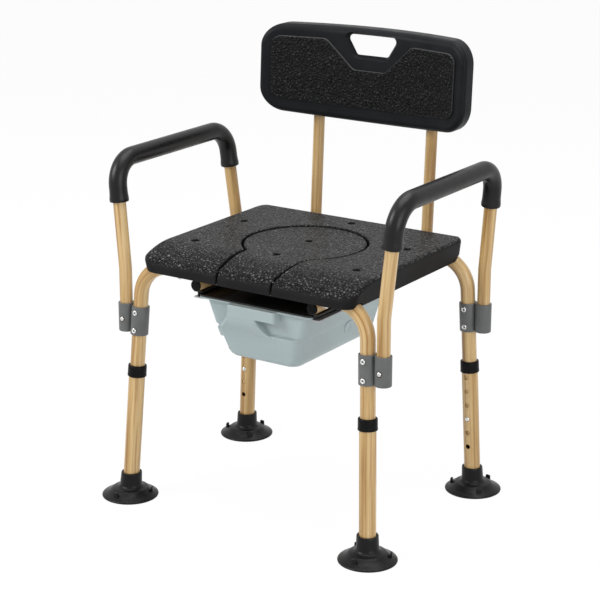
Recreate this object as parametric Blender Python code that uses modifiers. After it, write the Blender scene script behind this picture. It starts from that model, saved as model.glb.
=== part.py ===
"""Commode chair with telescopic legs, lift-off arms, a plugged horseshoe seat and a pull-out pan.

Metres, +Z up. The chair faces -Y, its left side (seen from the front) is -X and it stands on Z = 0.
"""

import math

import bmesh
import bpy
from mathutils import Matrix, Vector

# Legs and frame
FOOT_X = 0.243
FOOT_FRONT_Y = -0.1893
FOOT_REAR_Y = 0.163
CROSSBAR_X = 0.2226
CROSSBAR_FRONT_Y = -0.163
CROSSBAR_REAR_Y = 0.157
CROSSBAR_Z = 0.4165
FRAME_TUBE = 0.025
FRAME_WALL = 0.0015
FRAME_BEND = 0.0565
UPPER_LEG_BELOW_BUTTON = 0.0295

LOWER_WALL = 0.0011
LOWER_LEG_BASE_Z = 0.013
LOWER_LEG_TOP_Z = 0.2326
HOLE_COUNT = 6
HOLE_PITCH = 0.0254
BUTTON_HOLE = 4
BUTTON_Z = 0.1335
BUTTON_DIAMETER = 0.0078
BUTTON_PROUD = 0.0016
COLLAR_WALL = 0.00195
COLLAR_DROP = 0.005
COLLAR_HEIGHT = 0.020

# Suction feet
FOOT_DIAMETER = 0.098
FOOT_HEIGHT = 0.043
FOOT_NECK_WALL = 0.0037
FOOT_RIM = 0.003
FOOT_HOLLOW = 0.003
FOOT_SEAL = 0.005
TAB_COUNT = 3
TAB_RADIUS = 0.0385
TAB_WIDTH = 0.010
TAB_THICKNESS = 0.003
TAB_TOP = 0.0155
TAB_TURN_FRONT = math.radians(28)
TAB_TURN_REAR = math.radians(75)

# Connectors between legs and arms
CONNECTOR_Z = 0.317
CONNECTOR_HEIGHT = 0.050
CONNECTOR_WALL = 0.0025
CONNECTOR_WEB = 0.0050
ARM_SOCKET_RISE = 0.0025
RIVET_SPACING = 0.031
RIVET_HEAD = 0.009
RIVET_SHANK = 0.0038

# Arms
ARM_TUBE = 0.022
ARM_WALL = 0.0015
ARM_END_RISE = 0.0025
ARM_KNEE_RISE = 0.088
ARM_TOP_X = 0.274
ARM_TOP_FRONT_Y = -0.165
ARM_TOP_REAR_Y = 0.148
ARM_TOP_Z = 0.588
ARM_BEND = 0.045
GRIP_WALL = 0.0038
GRIP_DROP = 0.070

# Rails that carry the pan and rise as the back posts
RAIL_X = 0.1154
RAIL_TUBE = 0.020
RAIL_WALL = 0.0015
RAIL_FRONT_Y = -0.166
RAIL_BEND = 0.040
PLUG_HEAD = 0.0028
PLUG_DEPTH = 0.014
POST_BEHIND_SEAT = 0.032
POST_SEAT_Z = 0.440
POST_LEAN = 0.057
POST_TOP_DROP = 0.0435
RUNNER_WIDTH = 0.018
RUNNER_HEIGHT = 0.013
RUNNER_PLATE = 0.0024
RUNNER_PAST_PAN = 0.005

# Seat
SEAT_HALF_WIDTH = 0.210
SEAT_FRONT_Y = -0.188
SEAT_BACK_Y = 0.174
SEAT_DROP = 0.0045
SEAT_THICKNESS = 0.039
SEAT_CORNER = 0.022
SEAT_ROLL = 0.006
SEAT_DRAFT = 0.004
SEAT_FALL_LENGTH = 0.078
SEAT_FALL_CURVE = 3.3
SEAT_NOSE_LENGTH = 0.018
SEAT_NOSE_DROP = 0.020
KEYHOLE_Y = -0.004
KEYHOLE_RADIUS = 0.106
NECK_HALF_WIDTH = 0.061
NECK_FRONT_HALF_WIDTH = 0.0535
LEDGE_WIDTH = 0.008
LID_THICKNESS = 0.018
LIP_THICKNESS = 0.0105
DIMPLE_DIAMETER = 0.013
DIMPLE_DEPTH = 0.005
DIMPLE_FRONT = (0.161, -0.098)
DIMPLE_REAR = (0.1655, 0.052)
DIMPLE_CENTRE_Y = 0.142
LID_DIMPLE_YS = (-0.089, 0.008)
SEAT_SCREW_X = 0.145
SCREW_SHANK = 0.004
SCREW_HEAD = 0.008
SCREW_HEAD_HEIGHT = 0.0024

# Backrest
BACK_HALF_WIDTH = 0.207
BACK_TOP_Z = 0.7815
BACK_HEIGHT = 0.1595
BACK_CORNER = 0.040
BACK_DEPTH = 0.034
BACK_SKIN = 0.014
BACK_RIM = 0.009
BACK_RIB = 0.010
BACK_AHEAD_OF_POSTS = 0.0226
BACK_WRAP_RADIUS = 0.505
BACK_EDGE_ROUND = 0.006
BACK_STATIONS = 16
BOSS_WALL = 0.00315
BOSS_RISE = 0.008
SLOT_DROP = 0.0115
SLOT_HEIGHT = 0.033
SLOT_BASE_HALF = 0.029
SLOT_TOP_HALF = 0.047
SLOT_ROUND = 0.006
PAD_SIDE_MARGIN = 0.023
PAD_BASE_MARGIN = 0.026
PAD_TOP_MARGIN = 0.0205
PAD_CORNER = 0.014
PAD_THICKNESS = 0.004
NOTCH_BELOW_SLOT = 0.025
NOTCH_BASE_HALF = 0.032
NOTCH_TOP_HALF = 0.086
BACK_SCREW_SPACING = 0.062
BACK_SCREW_RISE = 0.033

# Pan and its cover
PAN_SETBACK = 0.008
PAN_BACK_Y = 0.143
PAN_RIM_THICKNESS = 0.003
PAN_RIM_OVERHANG = 0.0135
PAN_DEPTH = 0.102
PAN_STEP_DEPTH = 0.044
PAN_STEP_IN = 0.009
PAN_DRAFT = 0.008
PAN_FRONT_SHARE = 0.55
PAN_CORNER = 0.016
PAN_RIM_CORNER = 0.012
PAN_BASE_ROUND = 0.014
PAN_WALL = 0.0022
HANDLE_HALF_WIDTH = 0.0475
HANDLE_REACH = 0.010
HANDLE_HEIGHT = 0.019
HANDLE_WALL = 0.003
COVER_THICKNESS = 0.0028

# Fits
SLIDE_GAP = 0.0004
SEAT_GAP = 0.0003
HOLE_GAP = 0.00035
GROOVE_GAP = 0.0008
LID_GAP = 0.0008
GRIP_GAP = 0.0007
PAST = 0.02

# Facets round a full circle
TUBE_SIDES = 16
THIN_SIDES = 12
SMALL_SIDES = 10
BEND_STEPS = 4
KNEE_STEPS = 2
HOLE_TWIST = 0.2

UP = Vector((0, 0, 1))
FRONT = Vector((0, -1, 0))
RIGHT = Vector((1, 0, 0))
SIDES = (("left", -1), ("right", 1))
ENDS = ("front", "rear")

LOWER_BORE = FRAME_TUBE + 2 * SLIDE_GAP
LOWER_TUBE = LOWER_BORE + 2 * LOWER_WALL
COLLAR_DIAMETER = LOWER_TUBE + 2 * (SEAT_GAP + COLLAR_WALL)
COLLAR_Z = LOWER_LEG_TOP_Z - COLLAR_DROP
UPPER_LEG_END_Z = BUTTON_Z - UPPER_LEG_BELOW_BUTTON
FOOT_NECK = LOWER_TUBE + 2 * (SEAT_GAP + FOOT_NECK_WALL)
ARM_OFFSET = (FRAME_TUBE + ARM_TUBE) / 2 + CONNECTOR_WEB
ARM_END_Z = CONNECTOR_Z - CONNECTOR_HEIGHT / 2 + ARM_END_RISE
ARM_KNEE_Z = CONNECTOR_Z + ARM_KNEE_RISE
GRIP_DIAMETER = ARM_TUBE + 2 * (GRIP_GAP + GRIP_WALL)
GRIP_END_Z = ARM_TOP_Z - GRIP_DROP

SEAT_BASE_Z = CROSSBAR_Z - SEAT_DROP
SEAT_TOP_Z = SEAT_BASE_Z + SEAT_THICKNESS
LEDGE_Z = SEAT_TOP_Z - LID_THICKNESS
RAIL_Z = CROSSBAR_Z - FRAME_TUBE / 2 - SEAT_GAP - RAIL_TUBE / 2
RUNNER_TOP_Z = RAIL_Z - RAIL_TUBE / 2 - SEAT_GAP
RUNNER_FLOOR_Z = RUNNER_TOP_Z - RUNNER_HEIGHT + RUNNER_PLATE
RUNNER_BACK_Y = PAN_BACK_Y + RUNNER_PAST_PAN
PAN_RIM_Z = RUNNER_FLOOR_Z + SLIDE_GAP + PAN_RIM_THICKNESS
PAN_RIM_HALF = RAIL_X - RUNNER_PLATE / 2 - SLIDE_GAP
PAN_FRONT_Y = RAIL_FRONT_Y + PAN_SETBACK

POST_SEAT_Y = SEAT_BACK_Y + POST_BEHIND_SEAT
POST_TOP_Z = BACK_TOP_Z - POST_TOP_DROP
BACK_BASE_Z = BACK_TOP_Z - BACK_HEIGHT
BACK_MIDDLE_Z = BACK_TOP_Z - BACK_HEIGHT / 2
BACK_WRAP = BACK_HALF_WIDTH**2 / (2 * BACK_WRAP_RADIUS)
BACK_FACE_Y = POST_SEAT_Y + POST_LEAN * (BACK_MIDDLE_Z - POST_SEAT_Z) - BACK_AHEAD_OF_POSTS
BOSS_DIAMETER = RAIL_TUBE + 2 * (HOLE_GAP + BOSS_WALL)
BOSS_BASE_Z = BACK_BASE_Z + BOSS_RISE
SLOT_TOP_Z = BACK_TOP_Z - SLOT_DROP
SLOT_BASE_Z = SLOT_TOP_Z - SLOT_HEIGHT
PAD_HALF_WIDTH = BACK_HALF_WIDTH - PAD_SIDE_MARGIN
PAD_BASE_Z = BACK_BASE_Z + PAD_BASE_MARGIN
PAD_TOP_Z = BACK_TOP_Z - PAD_TOP_MARGIN
NOTCH_BASE_Z = SLOT_BASE_Z - NOTCH_BELOW_SLOT
BACK_SCREW_Z = BACK_BASE_Z + BACK_SCREW_RISE


def clear_scene():
    for thing in list(bpy.data.objects):
        bpy.data.objects.remove(thing, do_unlink=True)


clear_scene()
PARTS = bpy.data.collections.new("commode_chair")
CUTTERS = bpy.data.collections.new("cutters")
CUTTERS.hide_render = True
for group in (PARTS, CUTTERS):
    bpy.context.scene.collection.children.link(group)


def finish(name, colour, roughness, metallic=0.0):
    material = bpy.data.materials.new(name)
    material.use_nodes = True
    shader = material.node_tree.nodes["Principled BSDF"]
    shader.inputs["Base Color"].default_value = (*colour, 1)
    shader.inputs["Roughness"].default_value = roughness
    shader.inputs["Metallic"].default_value = metallic
    material.diffuse_color = (*colour, 1)
    return material


WOOD_TUBE = finish("wood_grain_tube", (0.60, 0.40, 0.18), 0.35)
BLACK_PLASTIC = finish("black_plastic", (0.012, 0.012, 0.013), 0.45)
RUBBER = finish("black_rubber", (0.018, 0.018, 0.02), 0.6)
GRIP_RUBBER = finish("grip_rubber", (0.03, 0.032, 0.034), 0.5)
GREY_PLASTIC = finish("grey_plastic", (0.16, 0.17, 0.17), 0.4)
SEAT_SKIN = finish("seat_skin", (0.028, 0.029, 0.032), 0.55)
BACK_SHELL = finish("back_shell", (0.016, 0.017, 0.019), 0.4)
PAN_PLASTIC = finish("pan_plastic", (0.38, 0.45, 0.47), 0.35)
COVER_PLASTIC = finish("cover_plastic", (0.010, 0.010, 0.011), 0.25)
RUNNER_METAL = finish("runner_metal", (0.05, 0.05, 0.052), 0.4, 0.6)
STEEL = finish("bright_steel", (0.66, 0.66, 0.65), 0.25, 1.0)


def place(thing, material):
    """Put a finished sub-part in the chair's collection."""
    PARTS.objects.link(thing)
    if material:
        thing.data.materials.clear()
        thing.data.materials.append(material)
    return thing


def hide(thing):
    """Keep a cutter or a joined shape out of the render."""
    CUTTERS.objects.link(thing)
    thing.hide_render = True
    thing.display_type = "WIRE"
    return thing


def combine(target, other, operation):
    step = target.modifiers.new(other.name, "BOOLEAN")
    step.operation = operation
    step.solver = "EXACT"
    step.object = other


def cut(target, *cutters):
    for cutter in cutters:
        combine(target, cutter, "DIFFERENCE")


def object_of(name, shape):
    bmesh.ops.recalc_face_normals(shape, faces=shape.faces)
    mesh = bpy.data.meshes.new(name)
    shape.to_mesh(mesh)
    shape.free()
    return bpy.data.objects.new(name, mesh)


def rounded_path(corners, radius, steps=BEND_STEPS):
    """The corner points with an arc at each inner corner."""
    corners = [Vector(corner) for corner in corners]
    path = [corners[0]]
    for before, corner, after in zip(corners, corners[1:], corners[2:]):
        back = (before - corner).normalized()
        on = (after - corner).normalized()
        half = back.angle(on) / 2
        centre = corner + (back + on).normalized() * radius / math.sin(half)
        start = (corner + back * radius / math.tan(half) - centre).normalized()
        end = (corner + on * radius / math.tan(half) - centre).normalized()
        for step in range(steps + 1):
            path.append(centre + start.slerp(end, step / steps) * radius)
    path.append(corners[-1])
    return path


def swept(name, path, diameter, wall=None, sides=TUBE_SIDES):
    """A mesh tube along a path, solid or with a wall."""
    curve = bpy.data.curves.new(name, "CURVE")
    curve.dimensions = "3D"
    spline = curve.splines.new("POLY")
    spline.points.add(len(path) - 1)
    for point, spot in zip(spline.points, path):
        point.co = (*spot, 1)
    curve.bevel_depth = diameter / 2
    curve.bevel_resolution = (sides - 4) // 2
    curve.use_fill_caps = wall is None
    guide = hide(bpy.data.objects.new(name + "_path", curve))
    if wall:
        shell = guide.modifiers.new("wall", "SOLIDIFY")
        shell.thickness = wall
        shell.offset = -1
    bpy.context.view_layer.update()
    graph = bpy.context.evaluated_depsgraph_get()
    mesh = bpy.data.meshes.new_from_object(guide.evaluated_get(graph))
    bpy.data.objects.remove(guide, do_unlink=True)
    shape = bmesh.new()
    shape.from_mesh(mesh)
    bpy.data.meshes.remove(mesh)
    bmesh.ops.remove_doubles(shape, verts=shape.verts, dist=1e-6)
    return object_of(name, shape)


def turned(name, profile, spot=(0, 0, 0), axis=UP, sides=TUBE_SIDES, ring=False):
    """A profile of (radius, height) points, top to bottom outside, turned round an axis."""
    mesh = bpy.data.meshes.new(name)
    points = [(radius, 0, height) for radius, height in profile]
    edges = [(i, i + 1) for i in range(len(points) - 1)]
    if ring:
        edges.append((len(points) - 1, 0))
    mesh.from_pydata(points, edges, [])
    thing = bpy.data.objects.new(name, mesh)
    screw = thing.modifiers.new("turn", "SCREW")
    screw.steps = sides
    screw.render_steps = sides
    screw.use_merge_vertices = True
    screw.merge_threshold = 1e-6
    screw.use_smooth_shade = False
    thing.rotation_mode = "QUATERNION"
    thing.rotation_quaternion = UP.rotation_difference(Vector(axis))
    thing.location = spot
    return thing


def pins(name, ends, sides=SMALL_SIDES):
    """A cutter of separate cylinders, each from a start to an end at a diameter."""
    shape = bmesh.new()
    for start, end, diameter in ends:
        start = Vector(start)
        along = Vector(end) - start
        made = bmesh.ops.create_cone(
            shape,
            cap_ends=True,
            segments=sides,
            radius1=diameter / 2,
            radius2=diameter / 2,
            depth=along.length,
        )
        turn = UP.rotation_difference(along).to_matrix()
        twist = HOLE_TWIST if sides == SMALL_SIDES else 0
        turn = turn @ Matrix.Rotation(twist, 3, "Z")
        bmesh.ops.rotate(shape, verts=made["verts"], matrix=turn)
        bmesh.ops.translate(shape, verts=made["verts"], vec=start + along / 2)
    return hide(object_of(name, shape))


def block(name, low, high):
    low = Vector(low)
    high = Vector(high)
    shape = bmesh.new()
    made = bmesh.ops.create_cube(shape, size=1)
    bmesh.ops.scale(shape, verts=made["verts"], vec=high - low)
    bmesh.ops.translate(shape, verts=made["verts"], vec=(low + high) / 2)
    return object_of(name, shape)


def prism(name, outline, start, along):
    """A flat outline pushed along a direction."""
    shape = bmesh.new()
    face = shape.faces.new([shape.verts.new(Vector(start) + Vector(p)) for p in outline])
    pushed = bmesh.ops.extrude_face_region(shape, geom=[face])
    moved = [v for v in pushed["geom"] if isinstance(v, bmesh.types.BMVert)]
    bmesh.ops.translate(shape, verts=moved, vec=along)
    return object_of(name, shape)


def loft(name, rings):
    """Rings of equal length joined in order, with the first and last closed."""
    shape = bmesh.new()
    rows = [[shape.verts.new(point) for point in ring] for ring in rings]
    count = len(rows[0])
    for low, high in zip(rows, rows[1:]):
        for i in range(count):
            j = (i + 1) % count
            shape.faces.new((low[i], low[j], high[j], high[i]))
    shape.faces.new(rows[0])
    shape.faces.new(rows[-1])
    return object_of(name, shape)


def rounded_rectangle(half_x, front, back, radius, steps=BEND_STEPS):
    """Points and outward directions round a rectangle with round corners."""
    points = []
    centres = (
        (half_x - radius, back - radius),
        (radius - half_x, back - radius),
        (radius - half_x, front + radius),
        (half_x - radius, front + radius),
    )
    for corner, (x, y) in enumerate(centres):
        for step in range(steps + 1):
            angle = math.pi / 2 * (corner + step / steps)
            out = Vector((math.cos(angle), math.sin(angle), 0))
            points.append((Vector((x, y, 0)) + out * radius, out))
    return points


def rounded_polygon(corners, radius, steps=3):
    """A closed outline with an arc at each corner."""
    corners = [Vector(corner) for corner in corners]
    ring = [(corners[-1] + corners[0]) / 2] + corners + [(corners[-1] + corners[0]) / 2]
    return rounded_path(ring, radius, steps)[:-1]


def leg_line(end, side):
    """The foot's place and the crossbar corner of one leg."""
    foot_y = FOOT_FRONT_Y if end == "front" else FOOT_REAR_Y
    bar_y = CROSSBAR_FRONT_Y if end == "front" else CROSSBAR_REAR_Y
    foot = Vector((side * FOOT_X, foot_y, 0))
    corner = Vector((side * CROSSBAR_X, bar_y, CROSSBAR_Z))
    return foot, corner


def leg_point(end, side, height):
    foot, corner = leg_line(end, side)
    return foot.lerp(corner, height / CROSSBAR_Z)


def leg_axis(end, side):
    foot, corner = leg_line(end, side)
    return (corner - foot).normalized()


def button_direction(end):
    """The leg holes face the middle of the chair."""
    return -FRONT if end == "front" else FRONT


def rivet_heights():
    return [CONNECTOR_Z + step * RIVET_SPACING / 2 for step in (-1, 1)]


def arch_path(end):
    corners = [
        leg_point(end, -1, UPPER_LEG_END_Z),
        leg_line(end, -1)[1],
        leg_line(end, 1)[1],
        leg_point(end, 1, UPPER_LEG_END_Z),
    ]
    return rounded_path(corners, FRAME_BEND)


def make_arch(end):
    """Two upper legs and their crossbar, bent from one tube."""
    arch = swept(end + "_arch_tube", arch_path(end), FRAME_TUBE, FRAME_WALL)
    place(arch, WOOD_TUBE)
    holes = []
    for _, side in SIDES:
        for height in rivet_heights():
            spot = leg_point(end, side, height)
            holes.append((spot, spot + FRONT * FRAME_TUBE, RIVET_SHANK + 2 * HOLE_GAP))
        spot = leg_point(end, side, BUTTON_Z)
        outward = spot + button_direction(end) * FRAME_TUBE
        holes.append((spot, outward, BUTTON_DIAMETER + 2 * HOLE_GAP))
        spot = Vector((side * SEAT_SCREW_X, leg_line(end, side)[1].y, CROSSBAR_Z))
        holes.append((spot - UP * FRAME_TUBE, spot + UP * FRAME_TUBE, SCREW_SHANK + 2 * HOLE_GAP))
    cut(arch, pins(end + "_arch_holes", holes))


def make_lower_leg(end, label, side):
    """Outer leg tube with its row of height holes, its collar and its foot."""
    name = f"{end}_{label}"
    axis = leg_axis(end, side)
    base = leg_point(end, side, LOWER_LEG_BASE_Z)
    length = (leg_point(end, side, LOWER_LEG_TOP_Z) - base).length
    outer = LOWER_TUBE / 2
    inner = LOWER_BORE / 2
    tube = turned(
        "lower_leg_" + name,
        [(outer, length), (outer, 0), (inner, 0), (inner, length)],
        base,
        axis,
        ring=True,
    )
    place(tube, WOOD_TUBE)
    holes = []
    for number in range(1, HOLE_COUNT + 1):
        spot = leg_point(end, side, BUTTON_Z) + axis * (BUTTON_HOLE - number) * HOLE_PITCH
        outward = spot + button_direction(end) * LOWER_TUBE
        holes.append((spot, outward, BUTTON_DIAMETER + 2 * HOLE_GAP))
    cut(tube, pins("leg_holes_" + name, holes))

    low = -COLLAR_HEIGHT / 2
    high = COLLAR_HEIGHT / 2
    top_of_tube = (leg_point(end, side, LOWER_LEG_TOP_Z) - leg_point(end, side, COLLAR_Z)).length
    step = top_of_tube + SEAT_GAP
    over = outer + SEAT_GAP
    rim = COLLAR_DIAMETER / 2
    chamfer = 0.0012
    collar = turned(
        "leg_collar_" + name,
        [
            (inner, high),
            (rim - chamfer, high),
            (rim, high - chamfer),
            (rim, low + chamfer),
            (rim - chamfer, low),
            (over, low),
            (over, step),
            (inner, step),
        ],
        leg_point(end, side, COLLAR_Z),
        axis,
        ring=True,
    )
    place(collar, BLACK_PLASTIC)
    make_foot(name, end, side)
    make_leg_button(name, end, side)


def make_foot(name, end, side):
    """Rubber suction foot: a flared cup with a socket on the leg and release tabs."""
    spot = leg_point(end, side, 0)
    flange = FOOT_DIAMETER / 2
    neck = FOOT_NECK / 2
    foot = turned(
        "suction_foot_" + name,
        [
            (0, FOOT_HEIGHT),
            (neck - 0.001, FOOT_HEIGHT),
            (neck, FOOT_HEIGHT - 0.001),
            (neck + 0.001, FOOT_HEIGHT * 0.45),
            (neck + 0.006, FOOT_HEIGHT * 0.27),
            (flange - 0.008, FOOT_RIM + 0.003),
            (flange, FOOT_RIM),
            (flange, 0),
            (flange - FOOT_SEAL, 0),
            (0, FOOT_HOLLOW),
        ],
        spot,
        sides=20,
    )
    place(foot, RUBBER)
    axis = leg_axis(end, side)
    base = leg_point(end, side, LOWER_LEG_BASE_Z) - axis * SEAT_GAP
    socket = (base, base + axis * FOOT_HEIGHT, LOWER_TUBE + 2 * SEAT_GAP)
    turn = TAB_TURN_FRONT if end == "front" else TAB_TURN_REAR
    for number in range(TAB_COUNT):
        tab = block(
            f"tab_{name}_{number}",
            (TAB_RADIUS - TAB_THICKNESS / 2, -TAB_WIDTH / 2, FOOT_RIM / 2),
            (TAB_RADIUS + TAB_THICKNESS / 2, TAB_WIDTH / 2, TAB_TOP),
        )
        tab.location = spot
        tab.rotation_euler.z = turn + number * math.tau / TAB_COUNT
        combine(foot, hide(tab), "UNION")
    cut(foot, pins("socket_" + name, [socket], TUBE_SIDES))


def button_profile(reach, tube_inner):
    """A domed stud with a retaining flange behind the tube wall, as (radius, height)."""
    stud = BUTTON_DIAMETER / 2
    flange = stud + 0.0013
    seat = math.sqrt(tube_inner**2 - flange**2) - SEAT_GAP
    return [
        (0, reach),
        (stud * 0.6, reach - 0.0004),
        (stud, reach - 0.0016),
        (stud, seat),
        (flange, seat),
        (flange, seat - 0.0012),
        (0, seat - 0.0012),
    ]


def make_leg_button(name, end, side):
    """Snap stud of one leg, carried by the upper tube and standing in a lower-tube hole."""
    reach = LOWER_TUBE / 2 + BUTTON_PROUD
    profile = button_profile(reach, FRAME_TUBE / 2 - FRAME_WALL)
    out = button_direction(end)
    spot = leg_point(end, side, BUTTON_Z)
    place(turned("leg_button_" + name, profile, spot, out, SMALL_SIDES), STEEL)


def arm_foot(end, side):
    """Where an arm post stands in its connector, at the connector's middle height."""
    return leg_point(end, side, CONNECTOR_Z) + RIGHT * side * ARM_OFFSET


def make_connector(end, label, side):
    """Double sleeve riveted to the upper leg, with an outer socket for the arm post."""
    name = f"{end}_{label}"
    middle = leg_point(end, side, CONNECTOR_Z)
    axis = leg_axis(end, side)
    half = CONNECTOR_HEIGHT / 2
    leg_out = FRAME_TUBE / 2 + SLIDE_GAP + CONNECTOR_WALL
    arm_out = ARM_TUBE / 2 + SLIDE_GAP + CONNECTOR_WALL
    sleeve = turned(
        "arm_connector_" + name,
        [(0, half), (leg_out, half), (leg_out, -half), (0, -half)],
        middle,
        axis,
    )
    place(sleeve, GREY_PLASTIC)
    spot = arm_foot(end, side)
    socket = turned(
        "arm_socket_" + name,
        [(0, half), (arm_out, half), (arm_out, -half), (0, -half)],
        spot + UP * ARM_SOCKET_RISE,
    )
    web = block(
        "web_" + name,
        (-ARM_OFFSET / 2, -0.007, 0.003 - half),
        (ARM_OFFSET / 2, 0.007, half - 0.003),
    )
    web.location = (middle + spot) / 2
    combine(sleeve, hide(web), "UNION")
    combine(sleeve, hide(socket), "UNION")
    holes = []
    for height in rivet_heights():
        hole = leg_point(end, side, height)
        holes.append((hole, hole + FRONT * (leg_out + PAST), RIVET_SHANK + 2 * HOLE_GAP))
    if end == "front":
        holes.append((spot, spot + FRONT * (arm_out + PAST), BUTTON_DIAMETER + 2 * HOLE_GAP))
    cut(sleeve, pins("holes_" + name, holes))
    bores = [
        (middle - axis * (half + PAST), middle + axis * (half + PAST), FRAME_TUBE + 2 * SLIDE_GAP),
        (spot - UP * (half + PAST), spot + UP * (half + PAST), ARM_TUBE + 2 * SLIDE_GAP),
    ]
    cut(sleeve, pins("bores_" + name, bores, TUBE_SIDES))
    for word, height in zip(("lower", "upper"), rivet_heights()):
        make_rivet(f"{word}_rivet_{name}", leg_point(end, side, height), leg_out)


def make_rivet(name, spot, surface):
    """Blind rivet: a shallow domed head with a hollow middle and a short shank."""
    head = RIVET_HEAD / 2
    shank = RIVET_SHANK / 2
    seat = surface + SEAT_GAP
    profile = [
        (0, seat + 0.0006),
        (0.0016, seat + 0.0018),
        (head - 0.0012, seat + 0.0014),
        (head, seat),
        (shank, seat),
        (shank, FRAME_TUBE / 2 - FRAME_WALL - 0.003),
        (0, FRAME_TUBE / 2 - FRAME_WALL - 0.003),
    ]
    place(turned(name, profile, spot, FRONT, SMALL_SIDES), STEEL)


def arm_corners(side):
    """Corner points of one arm, from the front socket to the rear socket."""
    front = arm_foot("front", side)
    rear = arm_foot("rear", side)
    return [
        Vector((front.x, front.y, ARM_END_Z)),
        Vector((front.x, front.y, ARM_KNEE_Z)),
        Vector((side * ARM_TOP_X, ARM_TOP_FRONT_Y, ARM_TOP_Z)),
        Vector((side * ARM_TOP_X, ARM_TOP_REAR_Y, ARM_TOP_Z)),
        Vector((rear.x, rear.y, ARM_KNEE_Z)),
        Vector((rear.x, rear.y, ARM_END_Z)),
    ]


def at_height(low, high, height):
    return low.lerp(high, (height - low.z) / (high.z - low.z))


def make_arm(label, side):
    """Bent arm tube, its grip sleeve and the snap stud of its front post."""
    corners = arm_corners(side)
    knees = rounded_path(corners[:3], ARM_BEND, KNEE_STEPS)[:-1]
    top = rounded_path(corners[1:5], ARM_BEND)[1:-1]
    last = rounded_path(corners[3:], ARM_BEND, KNEE_STEPS)[1:]
    tube = swept(label + "_arm_tube", knees + top + last, ARM_TUBE, ARM_WALL, THIN_SIDES)
    place(tube, WOOD_TUBE)
    spot = arm_foot("front", side)
    hole = (spot, spot + FRONT * ARM_TUBE, BUTTON_DIAMETER + 2 * HOLE_GAP)
    cut(tube, pins(label + "_arm_hole", [hole]))
    ends = [
        at_height(corners[1], corners[2], GRIP_END_Z),
        at_height(corners[4], corners[3], GRIP_END_Z),
    ]
    path = rounded_path([ends[0], corners[2], corners[3], ends[1]], ARM_BEND)
    wall = (GRIP_DIAMETER - ARM_TUBE) / 2 - GRIP_GAP
    place(swept(label + "_arm_grip", path, GRIP_DIAMETER, wall, THIN_SIDES), GRIP_RUBBER)
    reach = ARM_TUBE / 2 + SLIDE_GAP + CONNECTOR_WALL + BUTTON_PROUD
    profile = button_profile(reach, ARM_TUBE / 2 - ARM_WALL)
    place(turned(label + "_arm_button", profile, spot, FRONT, SMALL_SIDES), STEEL)


def post_y(height):
    return POST_SEAT_Y + POST_LEAN * (height - POST_SEAT_Z)


def make_rail(label, side):
    """Tube under the seat that bends up behind it as a back post, with its end plug and runner."""
    x = side * RAIL_X
    corners = [
        (x, RAIL_FRONT_Y, RAIL_Z),
        (x, post_y(RAIL_Z), RAIL_Z),
        (x, post_y(POST_TOP_Z), POST_TOP_Z),
    ]
    tube = swept(label + "_rail_post_tube", rounded_path(corners, RAIL_BEND), RAIL_TUBE, RAIL_WALL)
    place(tube, WOOD_TUBE)
    holes = []
    for height in back_screw_heights():
        spot = Vector((x, post_y(height), height))
        holes.append((spot, spot - FRONT * RAIL_TUBE, SCREW_SHANK + 2 * HOLE_GAP))
    cut(tube, pins(label + "_post_holes", holes))

    inner = RAIL_TUBE / 2 - RAIL_WALL - HOLE_GAP - 0.0003
    rim = RAIL_TUBE / 2
    plug = turned(
        label + "_rail_plug",
        [(0, PLUG_HEAD), (rim - 0.0015, PLUG_HEAD), (rim, PLUG_HEAD - 0.0012), (rim, SEAT_GAP),
         (inner, SEAT_GAP), (inner, -PLUG_DEPTH), (0, -PLUG_DEPTH)],
        (x, RAIL_FRONT_Y, RAIL_Z),
        FRONT,
    )
    place(plug, BLACK_PLASTIC)

    half = RUNNER_WIDTH / 2
    low = RUNNER_TOP_Z - RUNNER_HEIGHT
    web = RUNNER_PLATE / 2
    section = [
        (half, RUNNER_TOP_Z), (-half, RUNNER_TOP_Z), (-half, RUNNER_TOP_Z - RUNNER_PLATE),
        (-web, RUNNER_TOP_Z - RUNNER_PLATE), (-web, low + RUNNER_PLATE), (-half, low + RUNNER_PLATE),
        (-half, low), (half, low), (half, low + RUNNER_PLATE), (web, low + RUNNER_PLATE),
        (web, RUNNER_TOP_Z - RUNNER_PLATE), (half, RUNNER_TOP_Z - RUNNER_PLATE),
    ]
    outline = [(across, 0, height) for across, height in section]
    start = (x, RAIL_FRONT_Y, 0)
    along = (0, RUNNER_BACK_Y - RAIL_FRONT_Y, 0)
    place(prism(label + "_pan_runner", outline, start, along), RUNNER_METAL)


def seat_blank(name):
    """The whole seat pad before its opening is cut: drafted sides, rolled edges, waterfall front."""
    rings = []
    outline = rounded_rectangle(SEAT_HALF_WIDTH, SEAT_FRONT_Y, SEAT_BACK_Y, SEAT_CORNER)
    rings.append([point - out * SEAT_DRAFT + UP * SEAT_BASE_Z for point, out in outline])
    for turn in (0, 30, 60, 90):
        inset = SEAT_ROLL * (1 - math.cos(math.radians(turn)))
        fall = SEAT_ROLL * (1 - math.sin(math.radians(turn)))
        rings.append([point - out * inset + UP * (SEAT_TOP_Z - fall) for point, out in outline])
    blank = loft(name, rings)
    cut(blank, hide(waterfall(name + "_fall")))
    return blank


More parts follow.
